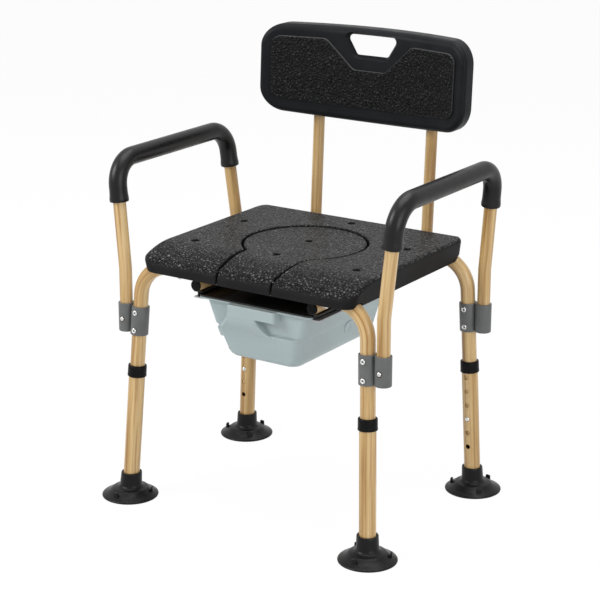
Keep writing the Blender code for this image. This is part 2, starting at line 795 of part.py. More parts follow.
def waterfall(name):
    """The space above the seat's front, where its top bends down to the nose."""
    outline = []
    start = SEAT_FRONT_Y + SEAT_FALL_LENGTH
    crest = SEAT_FRONT_Y + SEAT_NOSE_LENGTH
    for step in range(7):
        y = start + (crest - start) * step / 6
        outline.append((0, y, SEAT_TOP_Z - SEAT_FALL_CURVE * (start - y) ** 2))
    crest_z = outline[-1][2]
    for turn in (30, 60, 85):
        y = crest - SEAT_NOSE_LENGTH * math.sin(math.radians(turn))
        outline.append((0, y, crest_z - SEAT_NOSE_DROP * (1 - math.cos(math.radians(turn)))))
    low = crest_z - SEAT_NOSE_DROP
    outline += [(0, SEAT_FRONT_Y - PAST, low), (0, SEAT_FRONT_Y - PAST, SEAT_TOP_Z + PAST)]
    outline.append((0, start, SEAT_TOP_Z + PAST))
    wide = SEAT_HALF_WIDTH + PAST
    return prism(name, outline, (-wide, 0, 0), RIGHT * 2 * wide)


def keyhole(inset, steps=24):
    """Outline of the opening, round behind and a neck that runs out past the seat's front."""
    radius = KEYHOLE_RADIUS - inset
    neck = NECK_HALF_WIDTH - inset
    front = NECK_FRONT_HALF_WIDTH - inset
    start = -math.acos(neck / radius)
    points = []
    for step in range(steps + 1):
        angle = start + (math.pi - 2 * start) * step / steps
        points.append(Vector((radius * math.cos(angle), KEYHOLE_Y + radius * math.sin(angle), 0)))
    points.append(Vector((-front, SEAT_FRONT_Y - PAST, 0)))
    points.append(Vector((front, SEAT_FRONT_Y - PAST, 0)))
    return points


def dimples(name, spots):
    top = SEAT_TOP_Z + PAST
    ends = []
    for x, y in spots:
        ends.append(((x, y, SEAT_TOP_Z - DIMPLE_DEPTH), (x, y, top), DIMPLE_DIAMETER))
    return pins(name, ends)


def lip_block(name, half, deep):
    """The block at the seat's front that the lid's lip fills, up into the lid."""
    low = (-half, SEAT_FRONT_Y - PAST, SEAT_BASE_Z - PAST)
    return block(name, low, (half, SEAT_FRONT_Y + deep, LEDGE_Z + LID_THICKNESS / 4))


def make_seat():
    """Horseshoe seat pad that sits over both crossbars."""
    seat = place(seat_blank("seat_pad"), SEAT_SKIN)
    deep = (0, 0, SEAT_THICKNESS + 2 * PAST)
    opening = prism("seat_opening", keyhole(LEDGE_WIDTH), (0, 0, SEAT_BASE_Z - PAST), deep)
    recess = prism("lid_recess", keyhole(0), (0, 0, LEDGE_Z), (0, 0, LID_THICKNESS + PAST))
    lip_space = lip_block("lip_space", NECK_FRONT_HALF_WIDTH, LIP_THICKNESS + LID_GAP)
    cut(seat, hide(opening), hide(recess), hide(lip_space))
    half = FRAME_TUBE / 2 + 2 * GROOVE_GAP
    reach = CROSSBAR_X - FRAME_BEND / 2
    screws = []
    for end, y in (("front", CROSSBAR_FRONT_Y), ("rear", CROSSBAR_REAR_Y)):
        groove = swept(end + "_groove", arch_path(end), FRAME_TUBE + 2 * GROOVE_GAP)
        low = (-reach, y - half, SEAT_BASE_Z - PAST)
        mouth = block(end + "_groove_mouth", low, (reach, y + half, CROSSBAR_Z))
        cut(seat, hide(groove), hide(mouth))
        for _, side in SIDES:
            spot = Vector((side * SEAT_SCREW_X, y, CROSSBAR_Z))
            screws.append((spot, spot + UP * seat_screw_reach(), SCREW_SHANK + 2 * HOLE_GAP))
    cut(seat, pins("seat_screw_holes", screws))
    spots = [(side * x, y) for x, y in (DIMPLE_FRONT, DIMPLE_REAR) for _, side in SIDES]
    spots.append((0, DIMPLE_CENTRE_Y))
    cut(seat, dimples("seat_dimples", spots))


def make_seat_lid():
    """Plug that fills the opening, on the ledge, with a lip that closes the seat's front."""
    lid = place(seat_blank("seat_lid"), SEAT_SKIN)
    low = LEDGE_Z + SEAT_GAP
    shape = prism("lid_shape", keyhole(LID_GAP), (0, 0, low), (0, 0, LID_THICKNESS + PAST))
    lip = lip_block("lip_shape", NECK_FRONT_HALF_WIDTH - LID_GAP, LIP_THICKNESS)
    combine(shape, hide(lip), "UNION")
    combine(lid, hide(shape), "INTERSECT")
    cut(lid, dimples("lid_dimples", [(0, y) for y in LID_DIMPLE_YS]))


def seat_screw_reach():
    """How far a seat screw goes above the crossbar's middle."""
    return SEAT_TOP_Z - LID_THICKNESS + SCREW_SHANK / 2 - CROSSBAR_Z


def screw_profile(length):
    head = SCREW_HEAD / 2
    shank = SCREW_SHANK / 2
    return [
        (0, SCREW_HEAD_HEIGHT),
        (head * 0.6, SCREW_HEAD_HEIGHT),
        (head, SCREW_HEAD_HEIGHT * 0.4),
        (head, 0),
        (shank, 0),
        (shank, -length),
        (0, -length),
    ]


def make_seat_screws():
    """Screws up through the crossbars into the seat."""
    for end, y in zip(ENDS, (CROSSBAR_FRONT_Y, CROSSBAR_REAR_Y)):
        for label, side in SIDES:
            under = CROSSBAR_Z - FRAME_TUBE / 2 - SEAT_GAP
            length = CROSSBAR_Z + seat_screw_reach() - SEAT_GAP - under
            spot = (side * SEAT_SCREW_X, y, under)
            name = f"seat_screw_{end}_{label}"
            place(turned(name, screw_profile(length), spot, -UP, SMALL_SIDES), STEEL)


def back_face_y(x, height):
    """The front of the backrest, wrapped forward at its sides and leaning with the posts."""
    wrap = x**2 / (2 * BACK_WRAP_RADIUS)
    return BACK_FACE_Y - wrap + POST_LEAN * (height - BACK_MIDDLE_Z)


def wrapped_panel(name, half_width, base, top, corner, near, far, edge):
    """A panel that follows the backrest's front, from near to far behind it, lofted across X."""
    rings = []
    xs = [-half_width * math.cos(math.pi * i / BACK_STATIONS) for i in range(BACK_STATIONS + 1)]
    for x in xs:
        into = max(0.0, abs(x) - (half_width - corner))
        drop = corner - math.sqrt(max(0.0, corner**2 - into**2))
        low = base + drop
        high = top - drop
        if drop > corner * 0.9:
            low = base + corner * 0.9
            high = top - corner * 0.9
        section = [
            (near, low + edge), (near, high - edge), (near + edge, high), (far - edge, high),
            (far, high - edge), (far, low + edge), (far - edge, low), (near + edge, low),
        ]
        rings.append([Vector((x, back_face_y(x, z) + depth, z)) for depth, z in section])
    return loft(name, rings)


def trapezium(base_half, base, top_half, top, radius):
    corners = [(base_half, 0, base), (top_half, 0, top), (-top_half, 0, top), (-base_half, 0, base)]
    return rounded_polygon(corners, radius)


def back_screw_heights():
    return (BACK_SCREW_Z, BACK_SCREW_Z + BACK_SCREW_SPACING)


def boss_rib(label, x):
    """Rib that stands on the back of the shell's skin and carries one post boss."""
    outline = [
        (0, back_face_y(x, BOSS_BASE_Z) + BACK_SKIN / 2, BOSS_BASE_Z),
        (0, post_y(BOSS_BASE_Z), BOSS_BASE_Z),
        (0, post_y(POST_TOP_Z), POST_TOP_Z),
        (0, back_face_y(x, POST_TOP_Z) + BACK_SKIN / 2, POST_TOP_Z),
    ]
    return prism(label + "_boss_rib", outline, (x - BACK_RIB / 2, 0, 0), RIGHT * BACK_RIB)


def make_backrest():
    """Moulded shell with a hand slot and two sockets for the posts, its pad and its screws."""
    shell = wrapped_panel(
        "backrest_shell",
        BACK_HALF_WIDTH,
        BACK_BASE_Z,
        BACK_TOP_Z,
        BACK_CORNER,
        0,
        BACK_DEPTH,
        BACK_EDGE_ROUND,
    )
    place(shell, BACK_SHELL)
    pocket = wrapped_panel(
        "back_pocket",
        BACK_HALF_WIDTH - BACK_RIM,
        BACK_BASE_Z + BACK_RIM,
        BACK_TOP_Z - BACK_RIM,
        BACK_CORNER - BACK_RIM,
        BACK_SKIN,
        BACK_DEPTH + PAST,
        BACK_EDGE_ROUND / 2,
    )
    cut(shell, hide(pocket))
    bores = []
    screws = []
    start = Vector((0, BACK_FACE_Y - BACK_WRAP - PAST, 0))
    through = (0, BACK_WRAP + BACK_DEPTH + 3 * PAST, 0)
    for label, side in SIDES:
        x = side * RAIL_X
        low = Vector((x, post_y(BOSS_BASE_Z), BOSS_BASE_Z))
        high = Vector((x, post_y(POST_TOP_Z), POST_TOP_Z))
        along = (high - low).normalized()
        ends = [(low, high + along * 0.006, BOSS_DIAMETER)]
        combine(shell, hide(boss_rib(label, x)), "UNION")
        combine(shell, pins(label + "_boss", ends, TUBE_SIDES), "UNION")
        bores.append((low - along * PAST, high + along * SEAT_GAP, RAIL_TUBE + 2 * HOLE_GAP))
        for word, height in zip(("lower", "upper"), back_screw_heights()):
            spot = Vector((x, post_y(height), height))
            screws.append((spot, spot - FRONT * (BOSS_DIAMETER + PAST), SCREW_SHANK + 2 * HOLE_GAP))
            surface = spot - FRONT * (BOSS_DIAMETER / 2 + 2 * SEAT_GAP)
            length = BOSS_DIAMETER / 2 - RAIL_TUBE / 4
            name = f"back_screw_{word}_{label}"
            place(turned(name, screw_profile(length), surface, -FRONT, SMALL_SIDES), STEEL)
    cut(shell, pins("post_bores", bores, TUBE_SIDES), pins("back_screw_holes", screws))
    outline = trapezium(SLOT_BASE_HALF, SLOT_BASE_Z, SLOT_TOP_HALF, SLOT_TOP_Z, SLOT_ROUND)
    cut(shell, hide(prism("hand_slot", outline, start, through)))

    pad = wrapped_panel(
        "backrest_pad",
        PAD_HALF_WIDTH,
        PAD_BASE_Z,
        PAD_TOP_Z,
        PAD_CORNER,
        -PAD_THICKNESS - SEAT_GAP,
        -SEAT_GAP,
        0.0015,
    )
    place(pad, SEAT_SKIN)
    top = PAD_TOP_Z + PAST
    rise = (top - NOTCH_BASE_Z) / (PAD_TOP_Z - NOTCH_BASE_Z)
    top_half = NOTCH_BASE_HALF + (NOTCH_TOP_HALF - NOTCH_BASE_HALF) * rise
    outline = trapezium(NOTCH_BASE_HALF, NOTCH_BASE_Z, top_half, top, SLOT_ROUND)
    cut(pad, hide(prism("pad_notch", outline, start, through)))


def pan_ring(inset, height, corner):
    front = PAN_FRONT_Y + inset * PAN_FRONT_SHARE
    back = PAN_BACK_Y - inset
    ring = rounded_rectangle(PAN_RIM_HALF - inset, front, back, corner, 4)
    return [point + UP * height for point, _ in ring]


def make_pan():
    """Drawer-like pan with a rim that runs in the runners, a stepped wall and a front handle."""
    wall = PAN_RIM_OVERHANG
    step_z = PAN_RIM_Z - PAN_STEP_DEPTH
    base_z = PAN_RIM_Z - PAN_DEPTH
    lower = wall + PAN_DRAFT + PAN_STEP_IN
    foot = lower + PAN_DRAFT
    outside = [
        (0, PAN_RIM_Z, PAN_RIM_CORNER),
        (0, PAN_RIM_Z - PAN_RIM_THICKNESS, PAN_RIM_CORNER),
        (wall, PAN_RIM_Z - PAN_RIM_THICKNESS, PAN_CORNER),
        (wall + PAN_DRAFT, step_z, PAN_CORNER),
        (lower, step_z - 0.006, PAN_CORNER),
        (foot, base_z + PAN_BASE_ROUND, PAN_CORNER),
        (foot + PAN_BASE_ROUND * 0.3, base_z + PAN_BASE_ROUND * 0.3, PAN_CORNER),
        (foot + PAN_BASE_ROUND, base_z, PAN_CORNER),
    ]
    inside = [
        (foot + PAN_BASE_ROUND, base_z + PAN_WALL, PAN_CORNER),
        (foot + PAN_BASE_ROUND * 0.3 + PAN_WALL, base_z + PAN_BASE_ROUND * 0.3 + PAN_WALL, PAN_CORNER),
        (foot + PAN_WALL, base_z + PAN_BASE_ROUND + PAN_WALL, PAN_CORNER),
        (lower + PAN_WALL, step_z - 0.006 + PAN_WALL, PAN_CORNER),
        (wall + PAN_DRAFT + PAN_WALL, step_z + PAN_WALL, PAN_CORNER),
        (wall + PAN_WALL, PAN_RIM_Z, PAN_CORNER),
    ]
    rings = [pan_ring(*row) for row in outside]
    pan = loft("collection_pan", rings)
    place(pan, PAN_PLASTIC)
    hollow = [pan_ring(*row) for row in inside]
    mouth = [point + UP * PAST for point in hollow[-1]]
    cut(pan, hide(loft("pan_hollow", hollow + [mouth])))

    back = PAN_FRONT_Y + wall * PAN_FRONT_SHARE + PAN_WALL / 2
    front = PAN_FRONT_Y - HANDLE_REACH
    top = PAN_RIM_Z - PAN_RIM_THICKNESS / 2
    low = PAN_RIM_Z - HANDLE_HEIGHT
    handle = block("handle_shape", (-HANDLE_HALF_WIDTH, front, low), (HANDLE_HALF_WIDTH, back, top))
    combine(pan, hide(handle), "UNION")
    grip = block(
        "finger_space",
        (HANDLE_WALL - HANDLE_HALF_WIDTH, front + HANDLE_WALL, low - PAST / 4),
        (HANDLE_HALF_WIDTH - HANDLE_WALL, back - HANDLE_WALL, top - HANDLE_WALL),
    )
    cut(pan, hide(grip))


def make_pan_cover():
    """Flat cover that lies on the pan's rim between the runners and slides out over it."""
    ring = rounded_rectangle(PAN_RIM_HALF, PAN_FRONT_Y, PAN_BACK_Y, PAN_RIM_CORNER, 3)
    outline = [point for point, _ in ring]
    start = (0, 0, PAN_RIM_Z + SEAT_GAP)
    place(prism("pan_cover", outline, start, (0, 0, COVER_THICKNESS)), COVER_PLASTIC)


for end_name in ENDS:
    make_arch(end_name)
    for side_name, sign in SIDES:
        make_lower_leg(end_name, side_name, sign)
        make_connector(end_name, side_name, sign)
for side_name, sign in SIDES:
    make_arm(side_name, sign)
    make_rail(side_name, sign)
make_seat()
make_seat_lid()
make_seat_screws()
make_backrest()
make_pan()
make_pan_cover()
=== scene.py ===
"""The commode chair's looks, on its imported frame."""
import math

import bmesh
import bpy
import numpy as np
from mathutils import Matrix, Vector


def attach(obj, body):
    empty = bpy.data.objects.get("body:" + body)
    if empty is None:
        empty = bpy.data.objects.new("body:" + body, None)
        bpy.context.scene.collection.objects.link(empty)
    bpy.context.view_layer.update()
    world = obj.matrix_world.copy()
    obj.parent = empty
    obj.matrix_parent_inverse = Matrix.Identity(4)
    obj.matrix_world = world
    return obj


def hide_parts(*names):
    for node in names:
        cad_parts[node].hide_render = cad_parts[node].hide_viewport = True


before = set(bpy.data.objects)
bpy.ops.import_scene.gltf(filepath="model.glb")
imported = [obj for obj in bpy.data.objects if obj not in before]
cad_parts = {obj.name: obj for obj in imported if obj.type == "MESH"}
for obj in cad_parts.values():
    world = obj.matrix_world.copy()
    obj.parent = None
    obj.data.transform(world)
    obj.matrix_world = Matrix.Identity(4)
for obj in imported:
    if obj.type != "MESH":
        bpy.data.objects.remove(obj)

scene = bpy.context.scene
for startup in ("Cube", "Light", "Camera"):
    if startup in bpy.data.objects:
        bpy.data.objects.remove(bpy.data.objects[startup], do_unlink=True)
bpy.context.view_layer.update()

UP = Vector((0, 0, 1))
RIGHT = Vector((1, 0, 0))
FRONT = Vector((0, -1, 0))
BACK = Vector((0, 1, 0))
SIDES = {"left": -1, "right": 1}
ENDS = ("front", "rear")
LEGS = [(end, side, f"{end}_{label}") for end in ENDS for label, side in SIDES.items()]

# Fits, cuts and edges
FIT = 0.0004
CUT_REACH = 0.03
CUT_PAST = 0.02
EDGE_EASE = 0.0005

# Legs
FOOT_X = 0.243
BAR_X = 0.2226
BAR_Z = 0.4165
FOOT_Y = {"front": -0.1893, "rear": 0.163}
BAR_Y = {"front": -0.163, "rear": 0.157}
FRAME_RADIUS = 0.0125
FRAME_WALL = 0.0015
FRAME_BEND = 0.0565
ARCH_END_Z = 0.104
LOWER_RADIUS = 0.014
LOWER_BORE = FRAME_RADIUS + FIT
LOWER_BASE_Z = 0.013
LOWER_TOP_Z = 0.2326
LOWER_FLOOR = 0.004
FLOOR_FLAT = 0.004
HOLE_RADIUS = 0.00425
HOLE_PITCH = 0.0254
HOLE_STEPS = range(-2, 4)
BUTTON_Z = 0.1335
BUTTON_RADIUS = 0.0039
BUTTON_HEIGHT = 0.00635
BUTTON_PROUD = 0.0016
COLLAR_Z = 0.2276
FOOT_TURN = {"front": 28, "rear": 75}
FOOT_LEAN_Z = 0.004
FOOT_LEAN_SPAN = 0.016
TABS = 3
TAB_INNER = 0.0368
TAB_OUTER = 0.0402
TAB_ROUND = 0.0018
TAB_CORNERS = [(-0.005, 0.003), (0.005, 0.003), (0.0042, 0.0155), (-0.0042, 0.0155)]

# Arms and connectors
CONNECTOR_Z = 0.317
CONNECTOR_HALF = 0.025
CONNECTOR_HOLE = 0.0054
SLEEVE_RADIUS = 0.0154
SOCKET_RADIUS = 0.0139
SOCKET_RISE = 0.0025
RIVET_STEP = 0.0155
RIVET_GAP = 0.0003
ARM_OFFSET = 0.0285
ARM_RADIUS = 0.011
ARM_WALL = 0.0012
ARM_END_Z = 0.2945
ARM_KNEE_Z = 0.405
ARM_TOP_X = 0.274
ARM_TOP_Y = {"front": -0.165, "rear": 0.148}
ARM_TOP_Z = 0.588
ARM_BEND = 0.045
GRIP_RADIUS = 0.0155
GRIP_BORE = 0.0113
GRIP_END_Z = 0.518
GRIP_LIP = 0.019

# Rails
RAIL_X = 0.1154
RAIL_RADIUS = 0.01
RAIL_WALL = 0.0014
RAIL_Z = 0.3937
RAIL_FRONT_Y = -0.158
RAIL_BEND = 0.04
POST_Y = 0.206
POST_LEAN = 0.057
POST_BASE_Z = 0.44
POST_TOP_Z = 0.738
RUNNER_TOP_Z = 0.3834
RUNNER_LOW_Z = 0.3704
RUNNER_FRONT_Y = -0.153
RUNNER_BACK_Y = 0.148
RUNNER_HALF = 0.009
RUNNER_PLATE = 0.0024

# Seat
SEAT_HALF = 0.21
SEAT_FRONT_Y = -0.188
SEAT_BACK_Y = 0.174
SEAT_BASE_Z = 0.412
SEAT_TOP_Z = 0.451
SEAT_CORNER = 0.022
SEAT_ROLL = 0.006
SEAT_DRAFT = 0.004
FALL_START_Y = -0.11
FALL_CURVE = 3.3
CREST_Y = -0.17
NOSE_DROP = 0.02
OPENING_Y = -0.004
OPENING_RADIUS = 0.106
NECK_HALF = 0.061
NECK_FRONT_HALF = 0.0535
NECK_PAST = 0.01
LEDGE_Z = 0.433
LEDGE_WIDTH = 0.008
SEAM = 0.0017
LID_SUNK = 0.0012
LID_GAP = 0.0003
LIP_DEPTH = 0.0105
LIP_RISE = 0.0045
GROOVE_GAP = 0.0008
GROOVE_REACH = 0.194
EASED_Z = SEAT_BASE_Z + 0.004
SEAT_EASE = 0.0036
LID_EASE = 0.0034
SEAT_DIMPLE_EASE = 0.0024
LID_DIMPLE_EASE = 0.0022
DIMPLE_RADIUS = 0.0058
DIMPLE_DEPTH = 0.005
DIMPLE_RIM = 0.0075
DIMPLES = ((-0.161, -0.098), (0.161, -0.098), (-0.1655, 0.052), (0.1655, 0.052), (0, 0.142))
LID_DIMPLES = ((0, -0.089), (0, 0.008))

# Backrest
BACK_HALF = 0.207
BACK_BASE_Z = 0.622
BACK_TOP_Z = 0.7815
BACK_MIDDLE_Z = 0.705
BACK_CORNER = 0.042
BACK_FACE_Y = 0.1985
BACK_WRAP = 0.505
BACK_DEPTH = 0.034
BACK_ROLL = 0.012
BACK_LEAST_CORNER = 0.008
BASE_SAG = 0.0035
BASE_RISE = 0.0036
BEND_HALF = 0.2
BEND_STEP = 0.008
BOSS_LOW_Z = 0.63
BOSS_HIGH_Z = 0.74

# Pan
PAN_HALF = 0.1138
PAN_FRONT_Y = -0.158
PAN_BACK_Y = 0.143
PAN_RIM_Z = 0.3762
PAN_FRONT_SHARE = 0.55
PAN_CORNER = 0.016
PAN_INSIDE_CORNER = 0.014
RIM_CORNER = 0.012
WALL_SINK = 0.0011
TONGUE_EASE = 0.0035
TONGUE_SPREAD = 0.012
HANDLE_HALF = 0.0475
HANDLE_FRONT_Y = -0.168
HANDLE_HEIGHT = 0.019
HANDLE_BELOW_RIM = 0.0004
HANDLE_ROOT_Z = 0.366
HANDLE_WALL = 0.003
HANDLE_ROUND = [0.005, 0.005, 0.002, 0.002]
FINGERS_LEFT = 0.0088
FINGERS_BACK = 0.0018
FINGERS_BELOW = 0.002
FINGERS_TOP_Z = 0.3728
PAN_BOSS_INSET = 0.0334
PAN_BOSS_Y = 0.0055
PAN_BOSS_Z = 0.3126
PAN_BOSS_TILT = (0.975, -0.222)

# Camera
LENS = 113.33
SENSOR = 36
CAMERA_SPOT = (1.6919, -2.5646, 1.3046)
CAMERA_DOWN = 0.302
CAMERA_ROUND = 0.5868

# Where along the wood film the first tube of a kind starts, and the step to the next
FILM = {"arch": (0, 3.7), "leg": (13.3, 3.3), "arm": (40, 3.1), "rail": (60, 3.1)}


# Points on the frame
def leg_point(end, side, z):
    foot = Vector((side * FOOT_X, FOOT_Y[end], 0))
    bar = Vector((side * BAR_X, BAR_Y[end], BAR_Z))
    return foot + (bar - foot) * (z / BAR_Z)


def leg_axis(end, side):
    return (leg_point(end, side, BAR_Z) - leg_point(end, side, 0)).normalized()


def arm_foot(end, side):
    return leg_point(end, side, CONNECTOR_Z) + RIGHT * side * ARM_OFFSET


def post_y(z):
    return POST_Y + POST_LEAN * (z - POST_BASE_Z)


def back_y(x, z):
    return BACK_FACE_Y - x * x / (2 * BACK_WRAP) + POST_LEAN * (z - BACK_MIDDLE_Z)


def film_place(kind, order):
    start, step = FILM[kind]
    return start + step * order


# Mesh tools
def made(name, shape):
    bmesh.ops.recalc_face_normals(shape, faces=shape.faces)
    mesh = bpy.data.meshes.new(name)
    shape.to_mesh(mesh)
    shape.free()
    thing = bpy.data.objects.new(name, mesh)
    scene.collection.objects.link(thing)
    return thing


def bridge(shape, one, two):
    count = max(len(one), len(two))
    if count == 1:
        return
    for step in range(count):
        after = (step + 1) % count
        if len(one) == 1:
            shape.faces.new((one[0], two[step], two[after]))
        elif len(two) == 1:
            shape.faces.new((one[step], two[0], one[after]))
        else:
            shape.faces.new((one[step], two[step], two[after], one[after]))


def loft(name, rings, closed=False):
    shape = bmesh.new()
    rows = [[shape.verts.new(point) for point in ring] for ring in rings]
    for one, two in zip(rows, rows[1:]):
        bridge(shape, one, two)
    if closed:
        bridge(shape, rows[-1], rows[0])
    else:
        for row in (rows[0], rows[-1]):
            if len(row) > 2:
                shape.faces.new(row)
    return made(name, shape)


def turned(name, profile, spot=(0, 0, 0), axis=UP, sides=48, closed=False):
    spin = UP.rotation_difference(axis)
    rings = []
    for radius, height in profile:
        count = sides if radius > 1e-6 else 1
        turns = [2 * math.pi * step / count for step in range(count)]
        ring = [Vector((radius * math.cos(t), radius * math.sin(t), height)) for t in turns]
        rings.append([Vector(spot) + spin @ point for point in ring])
    return loft(name, rings, closed)


def arc_path(corners, radius, steps):
    points = [corners[0]]
    for before, corner, after in zip(corners, corners[1:], corners[2:]):
        into = (corner - before).normalized()
        out = (after - corner).normalized()
        turn = into.angle(out)
        start = corner - into * radius * math.tan(turn / 2)
        centre = start + (out - into * into.dot(out)).normalized() * radius
        axis = into.cross(out).normalized()
        for step in range(steps + 1):
            spin = Matrix.Rotation(turn * step / steps, 3, axis)
            points.append(centre + spin @ (start - centre))
    points.append(corners[-1])
    return points


def marks_of(path):
    marks = [0.0]
    for one, two in zip(path, path[1:]):
        marks.append(marks[-1] + (two - one).length)
    return marks


def sweep(name, path, rings, film=0.0, sides=48):
    marks = marks_of(path)
    steps = [(two - one).normalized() for one, two in zip(path, path[1:])]
    along = [(one + two).normalized() for one, two in zip(steps, steps[1:])]
    along = [steps[0]] + along + [steps[-1]]
    across = [along[0].orthogonal().normalized()]
    for one, two in zip(along, along[1:]):
        across.append((one.rotation_difference(two) @ across[-1]).normalized())
    shape = bmesh.new()
    grain = shape.verts.layers.float_vector.new("grain")
    rows = []
    for distance, radius in rings:
        index = max([0] + [i for i in range(len(marks) - 1) if marks[i] <= distance])
        share = (distance - marks[index]) / (marks[index + 1] - marks[index])
        centre = path[index].lerp(path[index + 1], share)
        ahead = along[index].lerp(along[index + 1], share).normalized()
        first = across[index].lerp(across[index + 1], share)
        first = (first - ahead * first.dot(ahead)).normalized()
        second = ahead.cross(first)
        row = []
        for step in range(sides):
            turn = 2 * math.pi * step / sides
            x = radius * math.cos(turn)
            y = radius * math.sin(turn)
            vert = shape.verts.new(centre + first * x + second * y)
            vert[grain] = (x, y, distance + film)
            row.append(vert)
        rows.append(row)
    for one, two in zip(rows, rows[1:]):
        bridge(shape, one, two)
    shape.faces.new(rows[0])
    shape.faces.new(rows[-1])
    return made(name, shape)


def tube(name, path, radius, wall, film, depth=0.02, edge=0.0004):
    marks = marks_of(path)
    end = marks[-1]
    inner = radius - wall
    rings = [(depth, inner), (0, inner), (0, radius - edge), (edge, radius)]
    rings += [(mark, radius) for mark in marks[1:-1]]
    rings += [(end - edge, radius), (end, radius - edge), (end, inner), (end - depth, inner)]
    return sweep(name, path, rings, film)


def bake(thing):
    bpy.context.view_layer.update()
    graph = bpy.context.evaluated_depsgraph_get()
    mesh = bpy.data.meshes.new_from_object(thing.evaluated_get(graph))
    thing.modifiers.clear()
    old = thing.data
    thing.data = mesh
    bpy.data.meshes.remove(old)


def combine(target, other, operation):
    step = target.modifiers.new("shape", "BOOLEAN")
    step.operation = operation
    step.solver = "EXACT"
    step.object = other
    bake(target)
    bpy.data.objects.remove(other, do_unlink=True)


def ease_edges(thing, width, angle, segments, above=-1.0, wanted=None):
    """Rounds the sharp edges that lie higher than a level, or those of them that are wanted."""
    shape = bmesh.new()
    shape.from_mesh(thing.data)
    sharp = []
    for edge in shape.edges:
        if edge.calc_face_angle(0) > math.radians(angle) and min(v.co.z for v in edge.verts) > above:
            if wanted is None or wanted((edge.verts[0].co + edge.verts[1].co) / 2):
                sharp.append(edge)
    bmesh.ops.bevel(
        shape, geom=sharp, offset=width, segments=segments, profile=0.5, affect="EDGES", clamp_overlap=False
    )
    shape.to_mesh(thing.data)
    shape.free()


def smooth(thing, angle=40, weighted=False):
    thing.data.shade_smooth()
    thing.data.set_sharp_from_angle(angle=math.radians(angle))
    if weighted:
        step = thing.modifiers.new("normals", "WEIGHTED_NORMAL")
        step.keep_sharp = True
        step.weight = 100
        bake(thing)
    return thing


def rod(name, radius, start, end, sides=32):
    axis = Vector(end) - Vector(start)
    profile = [(radius, 0), (radius, axis.length)]
    return turned(name, profile, start, axis.normalized(), sides)


def block(name, low, high):
    corners = [(low[0], low[1]), (high[0], low[1]), (high[0], high[1]), (low[0], high[1])]
    return loft(name, [[Vector((x, y, z)) for x, y in corners] for z in (low[2], high[2])])


def raised(outline, z):
    return [Vector((point.x, point.y, z)) for point in outline]


def prism(name, outline, low, high):
    return loft(name, [raised(outline, z) for z in (low, high)])


def rounded_polygon(corners, radius, steps):
    points = []
    count = len(corners)
    radii = radius if isinstance(radius, (list, tuple)) else [radius] * count
    for index, corner in enumerate(corners):
        corner = Vector(corner)
        into = (corner - Vector(corners[index - 1])).normalized()
        out = (Vector(corners[(index + 1) % count]) - corner).normalized()
        turn = into.angle_signed(out)
        reach = radii[index] * math.tan(abs(turn) / 2)
        start = corner - into * reach
        middle = start + (out - into * into.dot(out)).normalized() * radii[index]
        arm = start - middle
        for step in range(steps + 1):
            part = -turn * step / steps
            cos, sin = math.cos(part), math.sin(part)
            points.append(middle + Vector((arm.x * cos - arm.y * sin, arm.x * sin + arm.y * cos)))
    return points


def rounded_rectangle(half, front, back, radius, steps=12):
    corners = [(-half, front), (half, front), (half, back), (-half, back)]
    return rounded_polygon(corners, radius, steps)


def grown(outline, reach):
    points = []
    count = len(outline)
    for index, point in enumerate(outline):
        ahead = outline[(index + 1) % count] - outline[index - 1]
        points.append(point + Vector((ahead.y, -ahead.x)).normalized() * reach)
    return points


# Materials
def add_node(tree, kind, **values):
    node = tree.nodes.new(kind)
    for name, value in values.items():
        node.inputs[name].default_value = value
    return node


def start_material(name, roughness, metallic=0.0, shine=0.5):
    material = bpy.data.materials.new(name)
    material.use_nodes = True
    tree = material.node_tree
    shader = tree.nodes["Principled BSDF"]
    levels = {"Roughness": roughness, "Metallic": metallic, "Specular IOR Level": shine}
    for socket, level in levels.items():
        shader.inputs[socket].default_value = level
    return material, tree, shader


def place_of(tree, scale=(1, 1, 1), attribute=None):
    if attribute:
        source = add_node(tree, "ShaderNodeAttribute")
        source.attribute_name = attribute
        out = source.outputs["Vector"]
    else:
        out = add_node(tree, "ShaderNodeTexCoord").outputs["Object"]
    mapping = add_node(tree, "ShaderNodeMapping", Scale=scale)
    tree.links.new(out, mapping.inputs["Vector"])
    return mapping.outputs["Vector"]


def noise(tree, where, scale, detail=4.0, rough=0.55, bent=0.0, output=0):
    node = add_node(tree, "ShaderNodeTexNoise", Scale=scale, Detail=detail, Roughness=rough, Distortion=bent)
    tree.links.new(where, node.inputs["Vector"])
    return node.outputs[output]


def ramp(tree, value, *stops):
    node = add_node(tree, "ShaderNodeValToRGB")
    elements = node.color_ramp.elements
    while len(elements) < len(stops):
        elements.new(0.5)
    for element, (position, colour) in zip(elements, stops):
        element.position = position
        element.color = (*colour, 1)
    tree.links.new(value, node.inputs[0])
    return node.outputs["Color"]


def span(tree, value, low, high, new_low, new_high):
    node = add_node(tree, "ShaderNodeMapRange")
    for index, number in enumerate((low, high, new_low, new_high)):
        node.inputs[index + 1].default_value = number
    tree.links.new(value, node.inputs[0])
    return node.outputs[0]


def feed(tree, socket, value):
    """Sets a socket to a number or a colour, or links it to an output."""
    if isinstance(value, (int, float)):
        socket.default_value = value
    elif isinstance(value, tuple):
        socket.default_value = (*value, 1)
    else:
        tree.links.new(value, socket)


def mixed(tree, share, one, two, way="MIX"):
    node = tree.nodes.new("ShaderNodeMix")
    node.data_type = "RGBA"
    node.blend_type = way
    for index, value in ((0, share), (6, one), (7, two)):
        feed(tree, node.inputs[index], value)
    return node.outputs[2]


def times(tree, one, two):
    node = tree.nodes.new("ShaderNodeMath")
    node.operation = "MULTIPLY"
    feed(tree, node.inputs[0], one)
    feed(tree, node.inputs[1], two)
    return node.outputs[0]


